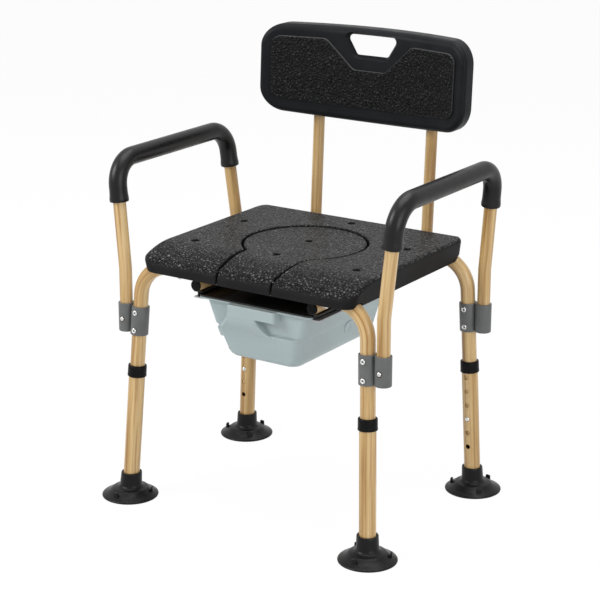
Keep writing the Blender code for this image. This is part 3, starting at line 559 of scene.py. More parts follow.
def dress(tree, shader, colour, rough):
    tree.links.new(colour, shader.inputs["Base Color"])
    tree.links.new(rough, shader.inputs["Roughness"])


def bump(tree, shader, height, strength, distance):
    node = add_node(tree, "ShaderNodeBump", Strength=strength, Distance=distance)
    tree.links.new(height, node.inputs["Height"])
    earlier = shader.inputs["Normal"].links
    if earlier:
        tree.links.new(earlier[0].from_socket, node.inputs["Normal"])
    tree.links.new(node.outputs["Normal"], shader.inputs["Normal"])


def painted_edge_highlight(tree, colour, highlight_colour):
    """Paler along the edges: a painted highlight where the rims would catch the light."""
    edge = add_node(tree, "ShaderNodeBevel", Radius=0.0012)
    edge.samples = 4
    plain = add_node(tree, "ShaderNodeNewGeometry")
    dot = tree.nodes.new("ShaderNodeVectorMath")
    dot.operation = "DOT_PRODUCT"
    tree.links.new(edge.outputs["Normal"], dot.inputs[0])
    tree.links.new(plain.outputs["Normal"], dot.inputs[1])
    share = span(tree, dot.outputs["Value"], 0.99, 0.8, 0.0, 0.55)
    return mixed(tree, share, colour, highlight_colour)


def grey(value):
    return value if isinstance(value, tuple) else (value, value, value * 1.04)


def facing(tree, axis, low, high, at_low, at_high):
    """A share that follows how far the surface faces along an axis."""
    parts = add_node(tree, "ShaderNodeSeparateXYZ")
    tree.links.new(add_node(tree, "ShaderNodeTexCoord").outputs["Normal"], parts.inputs[0])
    return span(tree, parts.outputs[axis], low, high, at_low, at_high)


def plain_plastic(name, dark, light, roughness, shine, relief, edge):
    material, tree, shader = start_material(name, roughness, 0.0, shine)
    where = place_of(tree)
    colour = ramp(tree, noise(tree, where, 28, 5), (0.3, grey(dark)), (0.75, grey(light)))
    rough = span(tree, noise(tree, where, 60, 6), 0.3, 0.7, roughness - 0.05, roughness + 0.07)
    # The edges take the edge colour as a painted highlight.
    dress(tree, shader, painted_edge_highlight(tree, colour, grey(edge)), rough)
    bump(tree, shader, noise(tree, where, 800, 3), 0.5, relief)
    return material


def wood_film():
    material, tree, shader = start_material("wood_film", 0.36, 0.0, 0.35)
    broad = noise(tree, place_of(tree, (95, 95, 2.6), "grain"), 1, 3, 0.5, 0.35)
    fine = noise(tree, place_of(tree, (430, 430, 7), "grain"), 1, 4, 0.6, 0.2)
    streak = noise(tree, place_of(tree, (190, 190, 4), "grain"), 1, 2, 0.5, 0.5)
    colour = ramp(
        tree, broad, (0.3, (0.32, 0.182, 0.06)), (0.46, (0.475, 0.312, 0.129)),
        (0.62, (0.6, 0.435, 0.22)), (0.8, (0.43, 0.27, 0.103)),
    )
    dark = ramp(tree, streak, (0.52, (1, 1, 1)), (0.68, (0.64, 0.52, 0.38)))
    colour = mixed(tree, 0.85, colour, dark, "MULTIPLY")
    pores = ramp(tree, fine, (0.36, (0.78, 0.7, 0.6)), (0.56, (1, 1, 1)))
    colour = mixed(tree, 0.75, colour, pores, "MULTIPLY")
    dress(tree, shader, colour, span(tree, fine, 0.3, 0.7, 0.4, 0.26))
    shader.inputs["Coat Weight"].default_value = 0.2
    shader.inputs["Coat Roughness"].default_value = 0.12
    bump(tree, shader, fine, 0.25, 0.00005)
    return material


def leather_cells(tree, where, scale, bend):
    """Rounded cells with narrow creases between them: 0 in a crease, 1 on a cell."""
    sway = noise(tree, where, scale / 2, 2, 0.5, output="Color")
    bent = mixed(tree, bend, where, sway, "ADD")
    cells = add_node(tree, "ShaderNodeTexVoronoi", Scale=scale)
    cells.feature = "DISTANCE_TO_EDGE"
    tree.links.new(bent, cells.inputs["Vector"])
    return span(tree, cells.outputs["Distance"], 0.0, 0.35, 0.0, 1.0)


def seat_skin():
    """Pebbled where the skin faces up, smooth on its sides."""
    material, tree, shader = start_material("seat_skin", 0.42, 0.0, 0.055)
    where = place_of(tree)
    mask = facing(tree, "Z", 0.25, 0.65, 0.0, 1.0)
    pebbles = leather_cells(tree, where, 190, 0.003)
    smooth_side = ramp(tree, noise(tree, where, 16, 5), (0.3, grey(0.009)), (0.75, grey(0.014)))
    # Painted glints and shade: the pebbles' crowns are painted light where they would glint, their creases
    # dark as shade.
    glint_and_shade_share = times(tree, pebbles, span(tree, noise(tree, where, 170, 2), 0.35, 0.65, 0.35, 1.0))
    painted_glint_grain = ramp(tree, glint_and_shade_share, (0.1, grey(0.004)), (0.55, grey(0.052)), (1.0, grey(0.16)))
    colour = mixed(tree, mask, smooth_side, painted_glint_grain)
    # The seat's edges are painted paler as a highlight.
    dress(tree, shader, painted_edge_highlight(tree, colour, grey(0.045)), span(tree, mask, 0, 1, 0.44, 0.34))
    bump(tree, shader, times(tree, pebbles, mask), 1.0, 0.0022)
    bump(tree, shader, noise(tree, where, 800, 4), 0.3, 0.00005)
    return material


def pad_skin():
    """Wrinkled where the pad faces the sitter, smooth on its rolled edge."""
    material, tree, shader = start_material("pad_skin", 0.38, 0.0, 0.11)
    where = place_of(tree)
    mask = facing(tree, "Y", -0.9, -0.78, 1.0, 0.0)
    wrinkles = leather_cells(tree, where, 170, 0.01)
    # Painted glints and shade: the wrinkles' crowns are painted light as glints, their creases dark as
    # shade.
    glint_and_shade_share = times(tree, wrinkles, span(tree, noise(tree, where, 170, 2), 0.35, 0.65, 0.2, 1.0))
    colour = ramp(tree, glint_and_shade_share, (0.05, grey(0.003)), (0.45, grey(0.008)), (0.95, grey(0.026)))
    # The rolled edge is painted paler than the face, as a painted highlight round the pad's rim.
    colour = mixed(tree, mask, grey(0.042), colour)
    # The pad's edges are painted paler as a highlight.
    dress(tree, shader, painted_edge_highlight(tree, colour, grey(0.05)), span(tree, wrinkles, 0, 1, 0.46, 0.3))
    bump(tree, shader, times(tree, wrinkles, mask), 1.0, 0.0022)
    bump(tree, shader, noise(tree, where, 900, 3), 0.4, 0.00008)
    return material


def pan_plastic():
    material, tree, shader = start_material("pan_plastic", 0.38, 0.0, 0.4)
    where = place_of(tree)
    colour = ramp(
        tree, noise(tree, where, 9, 3), (0.3, (0.3, 0.368, 0.38)), (0.75, (0.332, 0.396, 0.404))
    )
    rough = span(tree, noise(tree, where, 40, 4), 0.3, 0.7, 0.32, 0.44)
    # The rims are painted pale as a highlight, the bright line along the pan's edges.
    dress(tree, shader, painted_edge_highlight(tree, colour, (0.66, 0.72, 0.73)), rough)
    shader.inputs["Subsurface Weight"].default_value = 0.12
    shader.inputs["Subsurface Radius"].default_value = (1, 1, 1)
    shader.inputs["Subsurface Scale"].default_value = 0.004
    bump(tree, shader, noise(tree, where, 500, 3), 0.3, 0.00006)
    return material


def bright_steel():
    material, tree, shader = start_material("bright_steel", 0.24, 1.0)
    where = place_of(tree)
    tone = noise(tree, where, 120, 4)
    colour = ramp(tree, tone, (0.3, (0.56, 0.56, 0.55)), (0.7, (0.7, 0.7, 0.69)))
    dress(tree, shader, colour, span(tree, noise(tree, where, 300, 5), 0.3, 0.7, 0.18, 0.34))
    bump(tree, shader, noise(tree, where, 900, 3), 0.3, 0.00003)
    return material


WOOD = wood_film()
SEAT = seat_skin()
PAD = pad_skin()
PAN = pan_plastic()
STEEL = bright_steel()
SHELL_TONES = ((0.007, 0.0078, 0.0092), (0.011, 0.012, 0.0138))
SHELL = plain_plastic("back_shell", *SHELL_TONES, 0.4, 0.06, 0.00008, 0.025)
GRIP = plain_plastic("grip_foam", 0.003, 0.006, 0.34, 0.24, 0.00003, 0.02)
RUBBER = plain_plastic("foot_rubber", 0.004, 0.007, 0.34, 0.15, 0.00006, 0.02)
BLACK = plain_plastic("black_plastic", 0.003, 0.006, 0.34, 0.08, 0.00004, 0.02)
GREY_TONES = ((0.085, 0.09, 0.089), (0.115, 0.12, 0.119))
GREY = plain_plastic("grey_plastic", *GREY_TONES, 0.42, 0.35, 0.00005, 0.19)
GLOSS = plain_plastic("cover_plastic", 0.008, 0.012, 0.2, 0.4, 0.00002, 0.04)
RUNNER_DARK = plain_plastic("runner_dark", 0.008, 0.013, 0.4, 0.25, 0.00004, 0.04)
# The pale flange is painted light on the runner's dark metal.
RUNNER_LIT_FLANGE = plain_plastic("runner_flange_painted_light", 0.34, 0.43, 0.36, 0.4, 0.00004, 0.55)


def finish_in(material, thing):
    thing.data.materials.clear()
    thing.data.materials.append(material)


def show(thing, material, body, slot, *nodes):
    finish_in(material, thing)
    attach(thing, body)
    if nodes:
        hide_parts(*nodes)


# Arches
def arch_path(end):
    corners = [
        leg_point(end, -1, ARCH_END_Z), leg_point(end, -1, BAR_Z),
        leg_point(end, 1, BAR_Z), leg_point(end, 1, ARCH_END_Z),
    ]
    return arc_path(corners, FRAME_BEND, 24)


for order, end in enumerate(ENDS):
    film = film_place("arch", order)
    arch = tube(f"{end}_arch_shown", arch_path(end), FRAME_RADIUS, FRAME_WALL, film)
    show(smooth(arch), WOOD, "frame", "wood_grain_tube", f"{end}_arch_tube")


# Lower legs
def button_side(end):
    """The front legs' snap buttons face back, and the rear legs' face front."""
    return BACK if end == "front" else FRONT


def lay_film(mesh, base, axis, film):
    """Gives each point its place across and along the tube, which the wood grain follows."""
    grain = mesh.attributes.get("grain") or mesh.attributes.new("grain", "FLOAT_VECTOR", "POINT")
    first = axis.orthogonal().normalized()
    second = axis.cross(first)
    for vert in mesh.vertices:
        away = vert.co - base
        grain.data[vert.index].vector = (away.dot(first), away.dot(second), away.dot(axis) + film)


def off_axis(reach, axis):
    return reach - axis * reach.dot(axis)


def round_normals(mesh, base, axis, radius):
    """Keeps a tube's outside round across the faces that its holes cut up."""
    normals = [Vector(corner.vector) for corner in mesh.corner_normals]
    for face in mesh.polygons:
        away = off_axis(face.center - base, axis)
        on_skin = abs(away.length - radius) < 0.0002
        if on_skin and face.normal.dot(away.normalized()) > 0.97:
            for index in face.loop_indices:
                spot = mesh.vertices[mesh.loops[index].vertex_index].co
                normals[index] = off_axis(spot - base, axis).normalized()
    mesh.normals_split_custom_set(normals)


def lower_leg(end, side, leg, film):
    axis = leg_axis(end, side)
    base = leg_point(end, side, LOWER_BASE_Z)
    top = leg_point(end, side, LOWER_TOP_Z)
    length = (top - base).length
    rings = [(0, FLOOR_FLAT), (0, LOWER_RADIUS), (length, LOWER_RADIUS)]
    rings += [(length, LOWER_BORE), (LOWER_FLOOR, LOWER_BORE)]
    lower = sweep(f"lower_leg_{leg}_shown", [base, top], rings, 0, 96)
    for step in HOLE_STEPS:
        spot = leg_point(end, side, BUTTON_Z) + axis * HOLE_PITCH * step
        hole = rod("hole", HOLE_RADIUS, spot, spot + button_side(end) * CUT_REACH)
        combine(lower, hole, "DIFFERENCE")
    smooth(lower, 30)
    lay_film(lower.data, base, axis, film)
    round_normals(lower.data, base, axis, LOWER_RADIUS)
    show(lower, WOOD, f"leg_{leg}", "wood_grain_tube", f"lower_leg_{leg}")


# Turned profiles: radius, height along the axis
COLLAR = [
    (0.0129, 0.01), (0.0148, 0.01), (0.0156, 0.0096), (0.016, 0.0084), (0.01605, 0),
    (0.01615, -0.006), (0.01645, -0.0084), (0.0163, -0.0095), (0.0157, -0.01), (0.0143, -0.01),
    (0.0143, 0.0053), (0.0129, 0.0053),
]
FOOT = [
    (0, 0.0125), (0.0146, 0.0125), (0.0146, 0.042), (0.0156, 0.043), (0.0168, 0.043),
    (0.0176, 0.0426), (0.018, 0.0415), (0.0182, 0.038), (0.0188, 0.024), (0.0193, 0.0205),
    (0.0203, 0.0183), (0.0222, 0.0167), (0.025, 0.0156), (0.0285, 0.0149), (0.0305, 0.0143),
    (0.0322, 0.013), (0.0345, 0.0108), (0.038, 0.0082), (0.042, 0.006), (0.0455, 0.0044),
    (0.0478, 0.0033), (0.0487, 0.0025), (0.049, 0.0016), (0.0487, 0.0005), (0.0478, 0),
    (0.044, 0), (0.04, 0.0008), (0.03, 0.002), (0, 0.003),
]
BUTTON = [
    (0, 0), (BUTTON_RADIUS, 0), (BUTTON_RADIUS, 0.0045), (0.0037, 0.0051), (0.0031, 0.0057),
    (0.0022, 0.0061), (0.0011, 0.0063), (0, BUTTON_HEIGHT),
]
RIVET = [
    (0, -0.003), (0.0024, -0.003), (0.0024, 0), (0.0045, 0), (0.0046, 0.0004),
    (0.0043, 0.001), (0.0036, 0.0015), (0.0029, 0.00165), (0.0022, 0.0014), (0.0018, 0.0008),
    (0.0016, -0.0006), (0, -0.0008),
]
PLUG = [
    (0, 0.0028), (0.007, 0.0028), (0.0086, 0.0026), (0.0095, 0.0019), (0.0099, 0.001),
    (0.01, 0.0003), (0.0082, 0.0003), (0.0082, -0.012), (0, -0.012),
]
BACK_BOSS = [
    (0.01035, 0), (0.0129, 0), (0.0135, 0.0006), (0.0135, 0.1085), (0.013, 0.111),
    (0.0115, 0.113), (0.008, 0.114), (0, 0.1142), (0, 0.1095), (0.01035, 0.1095),
]
PAN_BOSS = [
    (0, -0.001), (0.0115, -0.001), (0.0115, 0.0012), (0.0108, 0.0018), (0.0074, 0.0018),
    (0.0064, 0.001), (0, 0.001),
]


def suction_foot(end, side, leg):
    axis = leg_axis(end, side)
    foot = turned(f"suction_foot_{leg}_shown", FOOT, sides=96)
    for vert in foot.data.vertices:
        share = min(max(vert.co.z - FOOT_LEAN_Z, 0) / FOOT_LEAN_SPAN, 1) * vert.co.z / axis.z
        vert.co.x += axis.x * share
        vert.co.y += axis.y * share
    outline = rounded_polygon(TAB_CORNERS, TAB_ROUND, 4)
    for count in range(TABS):
        turn = Matrix.Rotation(math.radians(FOOT_TURN[end] + 360 / TABS * count), 3, "Z")
        rings = [[turn @ Vector((y, x, z)) for x, z in outline] for y in (TAB_INNER, TAB_OUTER)]
        tab = loft("tab", rings)
        ease_edges(tab, EDGE_EASE, 40, 2)
        combine(foot, tab, "UNION")
    foot.data.transform(Matrix.Translation(leg_point(end, side, 0)))
    show(smooth(foot, 35), RUBBER, f"leg_{leg}", "foot_rubber", f"suction_foot_{leg}")


def leg_collar(end, side, leg):
    spot = leg_point(end, side, COLLAR_Z)
    collar = turned(f"leg_collar_{leg}_shown", COLLAR, spot, leg_axis(end, side), 64, True)
    show(smooth(collar, 50), BLACK, f"leg_{leg}", "black_plastic", f"leg_collar_{leg}")


def snap_button(name, body, middle, out, tip):
    """A button whose tip stands a given way out from the middle of its tube."""
    button = turned(name + "_shown", BUTTON, middle + out * (tip - BUTTON_HEIGHT), out, 40)
    show(smooth(button, 50), STEEL, body, "steel", name)


def leg_button(end, side, leg):
    middle = leg_point(end, side, BUTTON_Z)
    tip = LOWER_RADIUS + BUTTON_PROUD
    snap_button(f"leg_button_{leg}", f"leg_button_body_{leg}", middle, button_side(end), tip)


for order, (end, side, leg) in enumerate(LEGS):
    lower_leg(end, side, leg, film_place("leg", order))
    suction_foot(end, side, leg)
    leg_collar(end, side, leg)
    leg_button(end, side, leg)


# Connectors
def sleeve(name, radius, spot, axis, ease=0.0009):
    half = CONNECTOR_HALF
    profile = [(0, -half), (radius - ease, -half)]
    for step in range(1, 4):
        turn = step * math.pi / 6
        profile.append((radius - ease + ease * math.sin(turn), -half + ease - ease * math.cos(turn)))
    mirror = [(r, -h) for r, h in reversed(profile)]
    return turned(name, profile + mirror, spot, axis, 72)


def connector(end, side, leg):
    axis = leg_axis(end, side)
    spot = leg_point(end, side, CONNECTOR_Z)
    arm = arm_foot(end, side) + UP * SOCKET_RISE
    body = sleeve(f"arm_connector_{leg}_shown", SLEEVE_RADIUS, spot, axis)
    combine(body, sleeve("socket", SOCKET_RADIUS, arm, UP), "UNION")
    for middle, along, radius in ((spot, axis, FRAME_RADIUS), (arm, UP, ARM_RADIUS)):
        reach = along * 2 * CONNECTOR_HALF
        combine(body, rod("bore", radius + FIT, middle - reach, middle + reach, 72), "DIFFERENCE")
    if end == "front":
        hole = arm_foot(end, side)
        combine(body, rod("hole", CONNECTOR_HOLE, hole, hole + FRONT * CUT_REACH), "DIFFERENCE")
    show(smooth(body, 35), GREY, "frame", "connector_plastic", f"arm_connector_{leg}")
    for level, step in (("lower", -RIVET_STEP), ("upper", RIVET_STEP)):
        seat = leg_point(end, side, CONNECTOR_Z + step) + FRONT * (SLEEVE_RADIUS + RIVET_GAP)
        rivet = turned(f"{level}_rivet_{leg}_shown", RIVET, seat, FRONT, 40)
        show(smooth(rivet, 50), STEEL, "frame", "steel", f"{level}_rivet_{leg}")


for end, side, leg in LEGS:
    connector(end, side, leg)


# Arms
def arm_corners(side):
    corners = []
    for end in ENDS:
        foot = arm_foot(end, side)
        low = Vector((foot.x, foot.y, ARM_END_Z))
        knee = Vector((foot.x, foot.y, ARM_KNEE_Z))
        top = Vector((side * ARM_TOP_X, ARM_TOP_Y[end], ARM_TOP_Z))
        corners.append([low, knee, top])
    return corners[0] + corners[1][::-1]


# The grip's end: distance along the grip, radius
GRIP_MOUTH = [
    (0.004, GRIP_BORE), (0, GRIP_BORE), (0, 0.0148), (0.0004, 0.0158), (0.0014, 0.0163),
    (0.003, 0.0165), (0.006, 0.0165), (0.009, 0.0161), (0.013, 0.0157), (0.018, GRIP_RADIUS),
]


def arm_grip(label, corners):
    share = (GRIP_END_Z - ARM_KNEE_Z) / (ARM_TOP_Z - ARM_KNEE_Z)
    ends = [corners[1].lerp(corners[2], share), corners[4].lerp(corners[3], share)]
    path = arc_path([ends[0], corners[2], corners[3], ends[1]], ARM_BEND, 18)
    marks = marks_of(path)
    last = marks[-1]
    rings = list(GRIP_MOUTH)
    rings += [(mark, GRIP_RADIUS) for mark in marks if GRIP_LIP < mark < last - GRIP_LIP]
    rings += [(last - mark, radius) for mark, radius in reversed(GRIP_MOUTH)]
    grip = sweep(f"{label}_arm_grip_shown", path, rings, 0, 56)
    show(smooth(grip, 50), GRIP, f"arm_{label}", "grip", f"{label}_arm_grip")


for order, (label, side) in enumerate(SIDES.items()):
    corners = arm_corners(side)
    path = arc_path(corners, ARM_BEND, 16)
    arm = tube(f"{label}_arm_tube_shown", path, ARM_RADIUS, ARM_WALL, film_place("arm", order))
    show(smooth(arm), WOOD, f"arm_{label}", "wood_grain_tube", f"{label}_arm_tube")
    arm_grip(label, corners)
    middle = arm_foot("front", side)
    body = f"arm_button_body_{label}"
    snap_button(f"{label}_arm_button", body, middle, FRONT, SOCKET_RADIUS + BUTTON_PROUD)


# Rails, plugs and runners
TRACK_LOW_Z = RUNNER_TOP_Z - RUNNER_PLATE
FLANGE_TOP_Z = RUNNER_LOW_Z + RUNNER_PLATE
WEB_HALF = RUNNER_PLATE / 2
TRACK = [
    (-RUNNER_HALF, TRACK_LOW_Z), (-WEB_HALF, TRACK_LOW_Z), (-WEB_HALF, FLANGE_TOP_Z),
    (WEB_HALF, FLANGE_TOP_Z), (WEB_HALF, TRACK_LOW_Z), (RUNNER_HALF, TRACK_LOW_Z),
    (RUNNER_HALF, RUNNER_TOP_Z), (-RUNNER_HALF, RUNNER_TOP_Z),
]
FLANGE = [
    (-RUNNER_HALF, RUNNER_LOW_Z), (RUNNER_HALF, RUNNER_LOW_Z), (RUNNER_HALF, FLANGE_TOP_Z),
    (-RUNNER_HALF, FLANGE_TOP_Z),
]


def runner(name, outline, x, material, *nodes):
    ends = (RUNNER_FRONT_Y, RUNNER_BACK_Y)
    bar = loft(name, [[Vector((x + across, y, z)) for across, z in outline] for y in ends])
    ease_edges(bar, EDGE_EASE, 40, 2)
    show(smooth(bar, 40, True), material, "frame", "runner", *nodes)


for order, (label, side) in enumerate(SIDES.items()):
    x = side * RAIL_X
    corners = [(RAIL_FRONT_Y, RAIL_Z), (post_y(RAIL_Z), RAIL_Z), (post_y(POST_TOP_Z), POST_TOP_Z)]
    corners = [Vector((x, y, z)) for y, z in corners]
    path = arc_path(corners, RAIL_BEND, 18)
    rail = tube(f"{label}_rail_shown", path, RAIL_RADIUS, RAIL_WALL, film_place("rail", order))
    show(smooth(rail), WOOD, "frame", "wood_grain_tube", f"{label}_rail_post_tube")
    plug = turned(f"{label}_rail_plug_shown", PLUG, corners[0], FRONT, 40)
    show(smooth(plug, 50), BLACK, "frame", "black_plastic", f"{label}_rail_plug")
    runner(f"{label}_runner_track", TRACK, x, RUNNER_DARK, f"{label}_pan_runner")
    # The lower flange is painted pale where it would catch the light: a painted highlight on the same dark
    # metal as the track.
    runner(f"{label}_runner_flange", FLANGE, x, RUNNER_LIT_FLANGE)


# Seat
# The seat's rounded lower edge: inset, height
SEAT_HEM = [(0.0022, 0.0), (0.0006, 0.0006), (0.0, 0.0018)]


def seat_top(y):
    """Height of the seat's top: flat, bending down to a crest and over the nose."""
    fall = FALL_CURVE * max(FALL_START_Y - max(y, CREST_Y), 0) ** 2
    nose = min(max(CREST_Y - y, 0) / (CREST_Y - SEAT_FRONT_Y), 1)
    behind = max(SEAT_ROLL - (SEAT_BACK_Y - y), 0)
    rolled = SEAT_ROLL - math.sqrt(max(SEAT_ROLL ** 2 - behind ** 2, 0))
    return SEAT_TOP_Z - fall - NOSE_DROP * (1 - math.sqrt(1 - nose ** 2)) - rolled


def seat_half(y):
    into = max(SEAT_CORNER - (y - SEAT_FRONT_Y), SEAT_CORNER - (SEAT_BACK_Y - y), 0)
    return SEAT_HALF - SEAT_CORNER + math.sqrt(max(SEAT_CORNER ** 2 - into ** 2, 0))


def seat_section(y):
    half = seat_half(y)
    top = seat_top(y)
    roll = min(SEAT_ROLL, (top - SEAT_BASE_Z) * 0.8)
    side = [(half - SEAT_DRAFT - inset, SEAT_BASE_Z + rise) for inset, rise in SEAT_HEM]
    for step in range(9):
        turn = math.pi / 2 * step / 8
        side.append((half - roll * (1 - math.cos(turn)), top - roll * (1 - math.sin(turn))))
    flat = half - roll
    across = [(flat * (1 - share / 12), top) for share in range(1, 24)]
    left = [(-x, z) for x, z in reversed(side)]
    return [Vector((x, y, z)) for x, z in side + across + left]


def seat_blank(name):
    nose = CREST_Y - SEAT_FRONT_Y
    stations = [SEAT_FRONT_Y + nose * (1 - math.sin(math.radians(turn))) for turn in range(90, -1, -6)]
    stations += [CREST_Y + (FALL_START_Y - CREST_Y) * step / 14 for step in range(1, 15)]
    stations += [0.03 * step for step in range(-3, 5)]
    for turn in [0, *range(10, 91, 8)]:
        stations.append(SEAT_BACK_Y - SEAT_CORNER + SEAT_CORNER * math.sin(math.radians(turn)))
    return loft(name, [seat_section(y) for y in stations])


def keyhole(inset):
    """The opening seen from above: a circle with a neck that runs out through the front."""
    radius = OPENING_RADIUS - inset
    half = NECK_HALF - inset
    neck_end = NECK_FRONT_HALF - inset
    reach = math.asin(half / radius)
    points = []
    for step in range(97):
        turn = -math.pi / 2 + reach + (2 * math.pi - 2 * reach) * step / 96
        points.append(Vector((radius * math.cos(turn), OPENING_Y + radius * math.sin(turn))))
    return points + [Vector((x, SEAT_FRONT_Y - NECK_PAST)) for x in (-neck_end, neck_end)]


def cut_dimples(thing, spots):
    for x, y in spots:
        low = (x, y, SEAT_TOP_Z - DIMPLE_DEPTH)
        combine(thing, rod("dimple", DIMPLE_RADIUS, low, (x, y, SEAT_TOP_Z + CUT_PAST), 32), "DIFFERENCE")


def on_dimple(spot):
    return any(math.hypot(spot.x - x, spot.y - y) < DIMPLE_RIM for x, y in DIMPLES + LID_DIMPLES)


def ease_top(thing, dimple_width, width):
    """Rounds the rims of the dimples, and then the other edges above the underside."""
    ease_edges(thing, dimple_width, 50, 4, EASED_Z, on_dimple)
    ease_edges(thing, width, 50, 4, EASED_Z)


def lip_block(half, deep):
    """The space of the lid's lip, which hangs down over the front of the neck."""
    low = (-half, SEAT_FRONT_Y - CUT_PAST, SEAT_BASE_Z - CUT_PAST)
    return block("lip", low, (half, SEAT_FRONT_Y + deep, LEDGE_Z + LIP_RISE))


seat = seat_blank("seat_shown")
cut_top = SEAT_TOP_Z + CUT_PAST
cut_base = SEAT_BASE_Z - CUT_PAST
combine(seat, prism("opening", keyhole(LEDGE_WIDTH), cut_base, cut_top), "DIFFERENCE")
combine(seat, prism("recess", keyhole(-SEAM), LEDGE_Z, cut_top), "DIFFERENCE")
combine(seat, lip_block(NECK_FRONT_HALF + SEAM, LIP_DEPTH + SEAM), "DIFFERENCE")
cut_dimples(seat, DIMPLES)
for end in ENDS:
    path = arch_path(end)
    rings = [(mark, FRAME_RADIUS + GROOVE_GAP) for mark in marks_of(path)]
    combine(seat, sweep("groove", path, rings), "DIFFERENCE")
    half = FRAME_RADIUS + 2 * GROOVE_GAP
    low = (-GROOVE_REACH, BAR_Y[end] - half, cut_base)
    combine(seat, block("mouth", low, (GROOVE_REACH, BAR_Y[end] + half, BAR_Z)), "DIFFERENCE")
ease_top(seat, SEAT_DIMPLE_EASE, SEAT_EASE)
show(smooth(seat, 60, True), SEAT, "frame", "seat_skin", "seat_pad")

lid = seat_blank("seat_lid_shown")
lid_space = prism("lid_space", keyhole(SEAM), LEDGE_Z + LID_GAP, cut_top)
combine(lid_space, lip_block(NECK_FRONT_HALF - SEAM, LIP_DEPTH), "UNION")
combine(lid, lid_space, "INTERSECT")
cut_dimples(lid, LID_DIMPLES)
ease_top(lid, LID_DIMPLE_EASE, LID_EASE)
for vert in lid.data.vertices:
    vert.co.z -= LID_SUNK * max(vert.co.z - LEDGE_Z, 0) / (SEAT_TOP_Z - LEDGE_Z)
show(smooth(lid, 60, True), SEAT, "lid", "seat_skin", "seat_lid")


# Backrest
def bend_back(thing):
    """Wraps a flat piece round the sitter's back, leans it, and lets its lower edge sag."""
    shape = bmesh.new()
    shape.from_mesh(thing.data)
    bmesh.ops.triangulate(shape, faces=[face for face in shape.faces if len(face.verts) > 4])
    for station in np.arange(-BEND_HALF, BEND_HALF + 0.0001, BEND_STEP):
        everything = list(shape.verts) + list(shape.edges) + list(shape.faces)
        bmesh.ops.bisect_plane(shape, geom=everything, plane_co=(station, 0, 0), plane_no=(1, 0, 0))
    for vert in shape.verts:
        low = (BACK_TOP_Z - vert.co.z) / (BACK_TOP_Z - BACK_BASE_Z)
        vert.co.z += low * (BASE_RISE * (vert.co.x / RAIL_X) ** 2 - BASE_SAG)
        vert.co.y += back_y(vert.co.x, vert.co.z)
    bmesh.ops.recalc_face_normals(shape, faces=shape.faces)
    shape.to_mesh(thing.data)
    shape.free()


def flat_loft(name, outline_at, levels):
    rings = [[Vector((p.x, depth, p.y)) for p in outline_at(inset)] for inset, depth in levels]
    return loft(name, rings)


def back_outline(inset):
    corner = max(BACK_CORNER - inset, BACK_LEAST_CORNER)
    return rounded_rectangle(BACK_HALF - inset, BACK_BASE_Z + inset, BACK_TOP_Z - inset, corner, 14)


def slot_outline(reach):
    corners = [(-0.0305, 0.737), (0.0305, 0.737), (0.0515, 0.77), (-0.0515, 0.77)]
    return grown(rounded_polygon(corners, 0.0065, 8), reach)


def pad_outline(reach):
    corners = [
        (-0.184, 0.648), (0.184, 0.648), (0.184, 0.761), (0.086, 0.761),
        (0.032, 0.712), (-0.032, 0.712), (-0.086, 0.761), (-0.184, 0.761),
    ]
    radii = [0.017, 0.017, 0.017, 0.016, 0.016, 0.016, 0.016, 0.017]
    return grown(rounded_polygon(corners, radii, 8), reach)


# Levels of the shell, from its rear pocket over the rim and round to its face: inset, depth
SHELL_LEVELS = [
    (0.0098, 0.014), (0.0092, 0.0146), (0.009, 0.016), (0.009, 0.0322), (0.0084, 0.0334),
    (0.0074, BACK_DEPTH), (0.002, BACK_DEPTH), (0.0008, 0.0335), (0.0001, 0.0322),
]
for step in range(11):
    turn = math.pi / 2 * step / 10
    SHELL_LEVELS.append((BACK_ROLL * (1 - math.cos(turn)), BACK_ROLL * (1 - math.sin(turn))))

# Levels of the hand slot and of the pad: growth of the outline, depth
SLOT_LEVELS = [
    (0.008, -0.004), (0.0066, 0), (0.0058, 0.0004), (0.0046, 0.0016), (0.003, 0.0036),
    (0.0012, 0.0062), (0.0004, 0.0082), (0.0014, 0.0104), (0.004, 0.014), (0.0046, 0.04),
]
PAD_LEVELS = [
    (0, -0.0002), (0, -0.0024), (-0.0004, -0.0034), (-0.0012, -0.0041), (-0.0026, -0.0044),
]

shell = flat_loft("backrest_shell_shown", back_outline, SHELL_LEVELS)
combine(shell, flat_loft("slot", slot_outline, SLOT_LEVELS), "DIFFERENCE")
bend_back(shell)
show(smooth(shell, 50, True), SHELL, "frame", "back_shell", "backrest_shell")

pad = flat_loft("backrest_pad_shown", pad_outline, PAD_LEVELS)
bend_back(pad)
show(smooth(pad, 60, True), PAD, "frame", "seat_skin", "backrest_pad")

for label, side in SIDES.items():
    ends = [Vector((side * RAIL_X, post_y(z), z)) for z in (BOSS_LOW_Z, BOSS_HIGH_Z)]
    axis = (ends[1] - ends[0]).normalized()
    boss = turned(f"back_boss_{label}", BACK_BOSS, ends[0], axis, 48, True)
    show(smooth(boss, 50), SHELL, "frame", "back_shell")
for name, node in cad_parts.items():
    if "_screw_" in name:
        finish_in(STEEL, node)


# Pan and cover
def pan_outline(inset, corner, flare=0.0, ahead=0.0):
    """The pan seen from above. Its sides stand further out by the flare, and its front by ahead."""
    front = PAN_FRONT_Y + inset * PAN_FRONT_SHARE - ahead
    return rounded_rectangle(PAN_HALF - inset + flare, front, PAN_BACK_Y - inset, corner)


def wall_flare(z):
    return float(np.interp(z, [0.3345, 0.3722], [0.0, 0.0045]))


def wall_ahead(z):
    """Below its step the front wall stands further forward, so that the step is a ledge."""
    return float(np.interp(z, [0.29, 0.3264, 0.3282, 0.3298], [0.0, 0.0088, 0.0088, 0.0]))


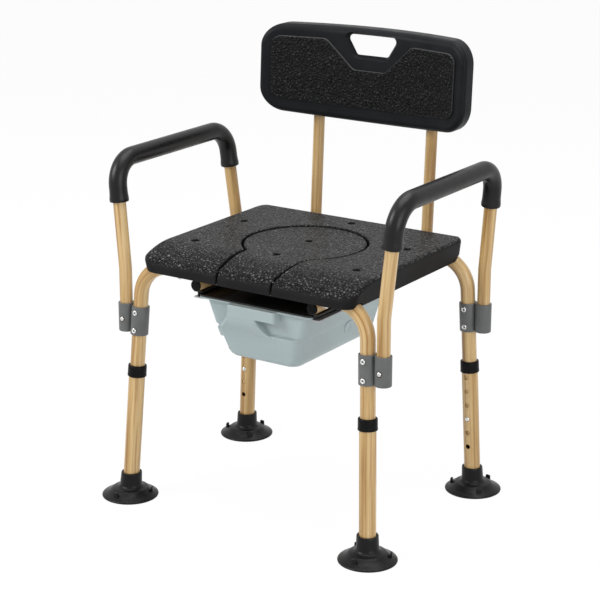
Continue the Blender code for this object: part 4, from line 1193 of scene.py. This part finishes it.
# Rows of the pan, up its inside, over the rim and down its outside: inset, height
PAN_INSIDE = [
    (0.066, 0.2764), (0.0545, 0.2766), (0.049, 0.2785), (0.045, 0.283), (0.043, 0.2905),
    (0.0352, 0.3245), (0.0343, 0.328), (0.0318, 0.3308), (0.0262, 0.333), (0.0242, 0.3355),
    (0.016, 0.3752), (0.0148, PAN_RIM_Z),
]
PAN_RIM = [
    (0.0012, PAN_RIM_Z), (0.0003, 0.3758), (0, 0.3752), (0, 0.374), (0.0004, 0.3734),
]
PAN_OUTSIDE = [
    (0.0135, 0.3722), (0.0139, 0.37), (0.0212, 0.333), (0.0217, 0.331), (0.0232, 0.3298),
    (0.0282, 0.329), (0.03, 0.3282), (0.0307, 0.3264), (0.0385, 0.29), (0.04, 0.2845),
    (0.0432, 0.2792), (0.048, 0.2756), (0.0545, 0.2744), (0.066, 0.2742),
]
UNDER_RIM = (0.0122, 0.3732)
# Rows of the tongue under the handle: height, left end, right end, front face
TONGUE = [
    (0.359, -0.0465, 0.008, -0.1672), (0.3525, -0.048, 0.0092, -0.1662),
    (0.346, -0.052, 0.0118, -0.164), (0.3395, -0.057, 0.0158, -0.1605),
    (0.334, -0.063, 0.02, -0.157), (0.33, -0.0665, 0.024, -0.1542),
    (0.3265, -0.068, 0.03, -0.1518), (0.32, -0.068, 0.038, -0.1482),
    (0.31, -0.067, 0.045, -0.1443),
]
# Levels of the cover: inset, height
COVER_LEVELS = [
    (0.001, 0.3765), (0.0002, 0.3768), (0, 0.3773), (0, 0.3785), (0.0003, 0.3791),
    (0.0012, 0.3793), (0.012, 0.3793), (0.0135, 0.379), (0.015, 0.3785),
]


def pan_shell(name):
    rings = [raised(pan_outline(inset, PAN_INSIDE_CORNER), z) for inset, z in PAN_INSIDE]
    rings += [raised(pan_outline(inset, RIM_CORNER), z) for inset, z in PAN_RIM]
    for inset, z in [UNDER_RIM] + PAN_OUTSIDE:
        rings.append(raised(pan_outline(inset, PAN_CORNER, wall_flare(z), wall_ahead(z)), z))
    return loft(name, rings)


def wall_y(z):
    """Where the outside of the front wall is at a height."""
    rows = sorted((height, inset) for inset, height in PAN_OUTSIDE)
    inset = float(np.interp(z, [r[0] for r in rows], [r[1] for r in rows]))
    return PAN_FRONT_Y + PAN_FRONT_SHARE * inset - wall_ahead(z)


def pan_tongue():
    rings = []
    for z, left, right, front in TONGUE:
        back = wall_y(z) + WALL_SINK
        ease = min(TONGUE_EASE, (back - front) * 0.8)
        corners = [(left, front), (right, front), (right, back), (left - TONGUE_SPREAD, back)]
        rings.append(raised(rounded_polygon(corners, [ease * 0.8, ease, 0.0001, 0.0001], 4), z))
    return loft("tongue", rings)


def pan_handle(back, low):
    """A rounded bar from the front wall forward. Each level: growth of the outline, height."""
    corners = [(-HANDLE_HALF, HANDLE_FRONT_Y), (HANDLE_HALF, HANDLE_FRONT_Y)]
    corners += [(HANDLE_HALF, back), (-HANDLE_HALF, back)]
    outline = rounded_polygon(corners, HANDLE_ROUND, 6)
    top = PAN_RIM_Z - HANDLE_BELOW_RIM
    levels = [(-0.0012, low), (-0.0004, low + 0.0003), (0, low + 0.0012)]
    levels += [(0, top - 0.0015), (-0.0005, top - 0.0005), (-0.0016, top)]
    return loft("handle", [raised(grown(outline, reach), z) for reach, z in levels])


def finger_space(back, low):
    """The recess in the right half of the handle's underside."""
    near = (FINGERS_LEFT, HANDLE_FRONT_Y + HANDLE_WALL, low - FINGERS_BELOW)
    return block("fingers", near, (HANDLE_HALF - HANDLE_WALL, back - FINGERS_BACK, FINGERS_TOP_Z))


handle_back = wall_y(HANDLE_ROOT_Z) + WALL_SINK
handle_low = PAN_RIM_Z - HANDLE_HEIGHT
pan = pan_shell("collection_pan_shown")
combine(pan, pan_tongue(), "UNION")
combine(pan, pan_handle(handle_back, handle_low), "UNION")
combine(pan, finger_space(handle_back, handle_low), "DIFFERENCE")
for side in SIDES.values():
    spot = (side * (PAN_HALF - PAN_BOSS_INSET), PAN_BOSS_Y, PAN_BOSS_Z)
    axis = Vector((side * PAN_BOSS_TILT[0], 0, PAN_BOSS_TILT[1]))
    combine(pan, turned("boss", PAN_BOSS, spot, axis, 40), "UNION")
show(smooth(pan, 40, True), PAN, "pan", "pan_plastic", "collection_pan")

rings = [raised(pan_outline(inset, RIM_CORNER + inset * 0.3), z) for inset, z in COVER_LEVELS]
cover = loft("pan_cover_shown", rings)
show(smooth(cover, 30, True), GLOSS, "cover", "cover_plastic", "pan_cover")


# Floor and world
def seen_directly(tree):
    """1 for a ray from the camera, or from a mirror or a window on its way there."""
    rays = tree.nodes.new("ShaderNodeLightPath")
    total = rays.outputs["Is Camera Ray"]
    for name in ("Is Glossy Ray", "Is Transmission Ray"):
        either = tree.nodes.new("ShaderNodeMath")
        either.operation = "MAXIMUM"
        tree.links.new(total, either.inputs[0])
        tree.links.new(rays.outputs[name], either.inputs[1])
        total = either.outputs[0]
    return total


def show_two(tree, out_kind, plain, seen):
    """One shader for the rays that light the chair, and another where it is seen directly."""
    choose = tree.nodes.new("ShaderNodeMixShader")
    out = tree.nodes.new(out_kind)
    tree.links.new(seen_directly(tree), choose.inputs[0])
    tree.links.new(plain.outputs[0], choose.inputs[1])
    tree.links.new(seen.outputs[0], choose.inputs[2])
    tree.links.new(choose.outputs[0], out.inputs["Surface"])


def white_floor():
    shape = bmesh.new()
    bmesh.ops.create_grid(shape, x_segments=8, y_segments=8, size=30)
    floor = made("floor", shape)
    floor.location.z = -0.0006
    material = bpy.data.materials.new("white_floor")
    material.use_nodes = True
    tree = material.node_tree
    tree.nodes.clear()
    paint = add_node(tree, "ShaderNodeBsdfDiffuse", Color=(1, 1, 1, 1))
    glow = add_node(tree, "ShaderNodeEmission", Strength=1.0)
    blend = add_node(tree, "ShaderNodeMixShader", Fac=0.94)
    plain = add_node(tree, "ShaderNodeBsdfDiffuse", Color=(0.78, 0.78, 0.78, 1))
    tree.links.new(paint.outputs[0], blend.inputs[1])
    tree.links.new(glow.outputs[0], blend.inputs[2])
    show_two(tree, "ShaderNodeOutputMaterial", plain, blend)
    floor.data.materials.append(material)


def white_world(ambient):
    world = bpy.data.worlds.new("white_world")
    scene.world = world
    world.use_nodes = True
    tree = world.node_tree
    tree.nodes.clear()
    seen = add_node(tree, "ShaderNodeBackground", Color=(1, 1, 1, 1), Strength=1.0)
    light = add_node(tree, "ShaderNodeBackground", Color=(1, 1, 1, 1), Strength=ambient)
    show_two(tree, "ShaderNodeOutputWorld", light, seen)


def area_light(name, spot, target, size, power):
    lamp = bpy.data.lights.new(name, "AREA")
    lamp.shape = "SQUARE"
    lamp.size = size
    lamp.energy = power
    thing = bpy.data.objects.new(name, lamp)
    thing.location = spot
    thing.rotation_euler = (Vector(target) - Vector(spot)).to_track_quat("-Z", "Y").to_euler()
    scene.collection.objects.link(thing)


white_floor()
white_world(0.45)
area_light("key", (-1.9, -2.2, 2.3), (0, 0, 0.45), 1.6, 80)
area_light("top", (0.1, 0.2, 2.8), (0, 0, 0.4), 2.0, 50)
area_light("fill", (2.6, -1.2, 1.2), (0, 0, 0.4), 1.6, 34)

lens = bpy.data.cameras.new("camera")
lens.sensor_width = SENSOR
lens.lens = LENS
eye = bpy.data.objects.new("camera", lens)
eye.location = CAMERA_SPOT
eye.rotation_euler = (math.pi / 2 - CAMERA_DOWN, 0, CAMERA_ROUND)
scene.collection.objects.link(eye)
scene.camera = eye
scene.view_settings.view_transform = "Standard"
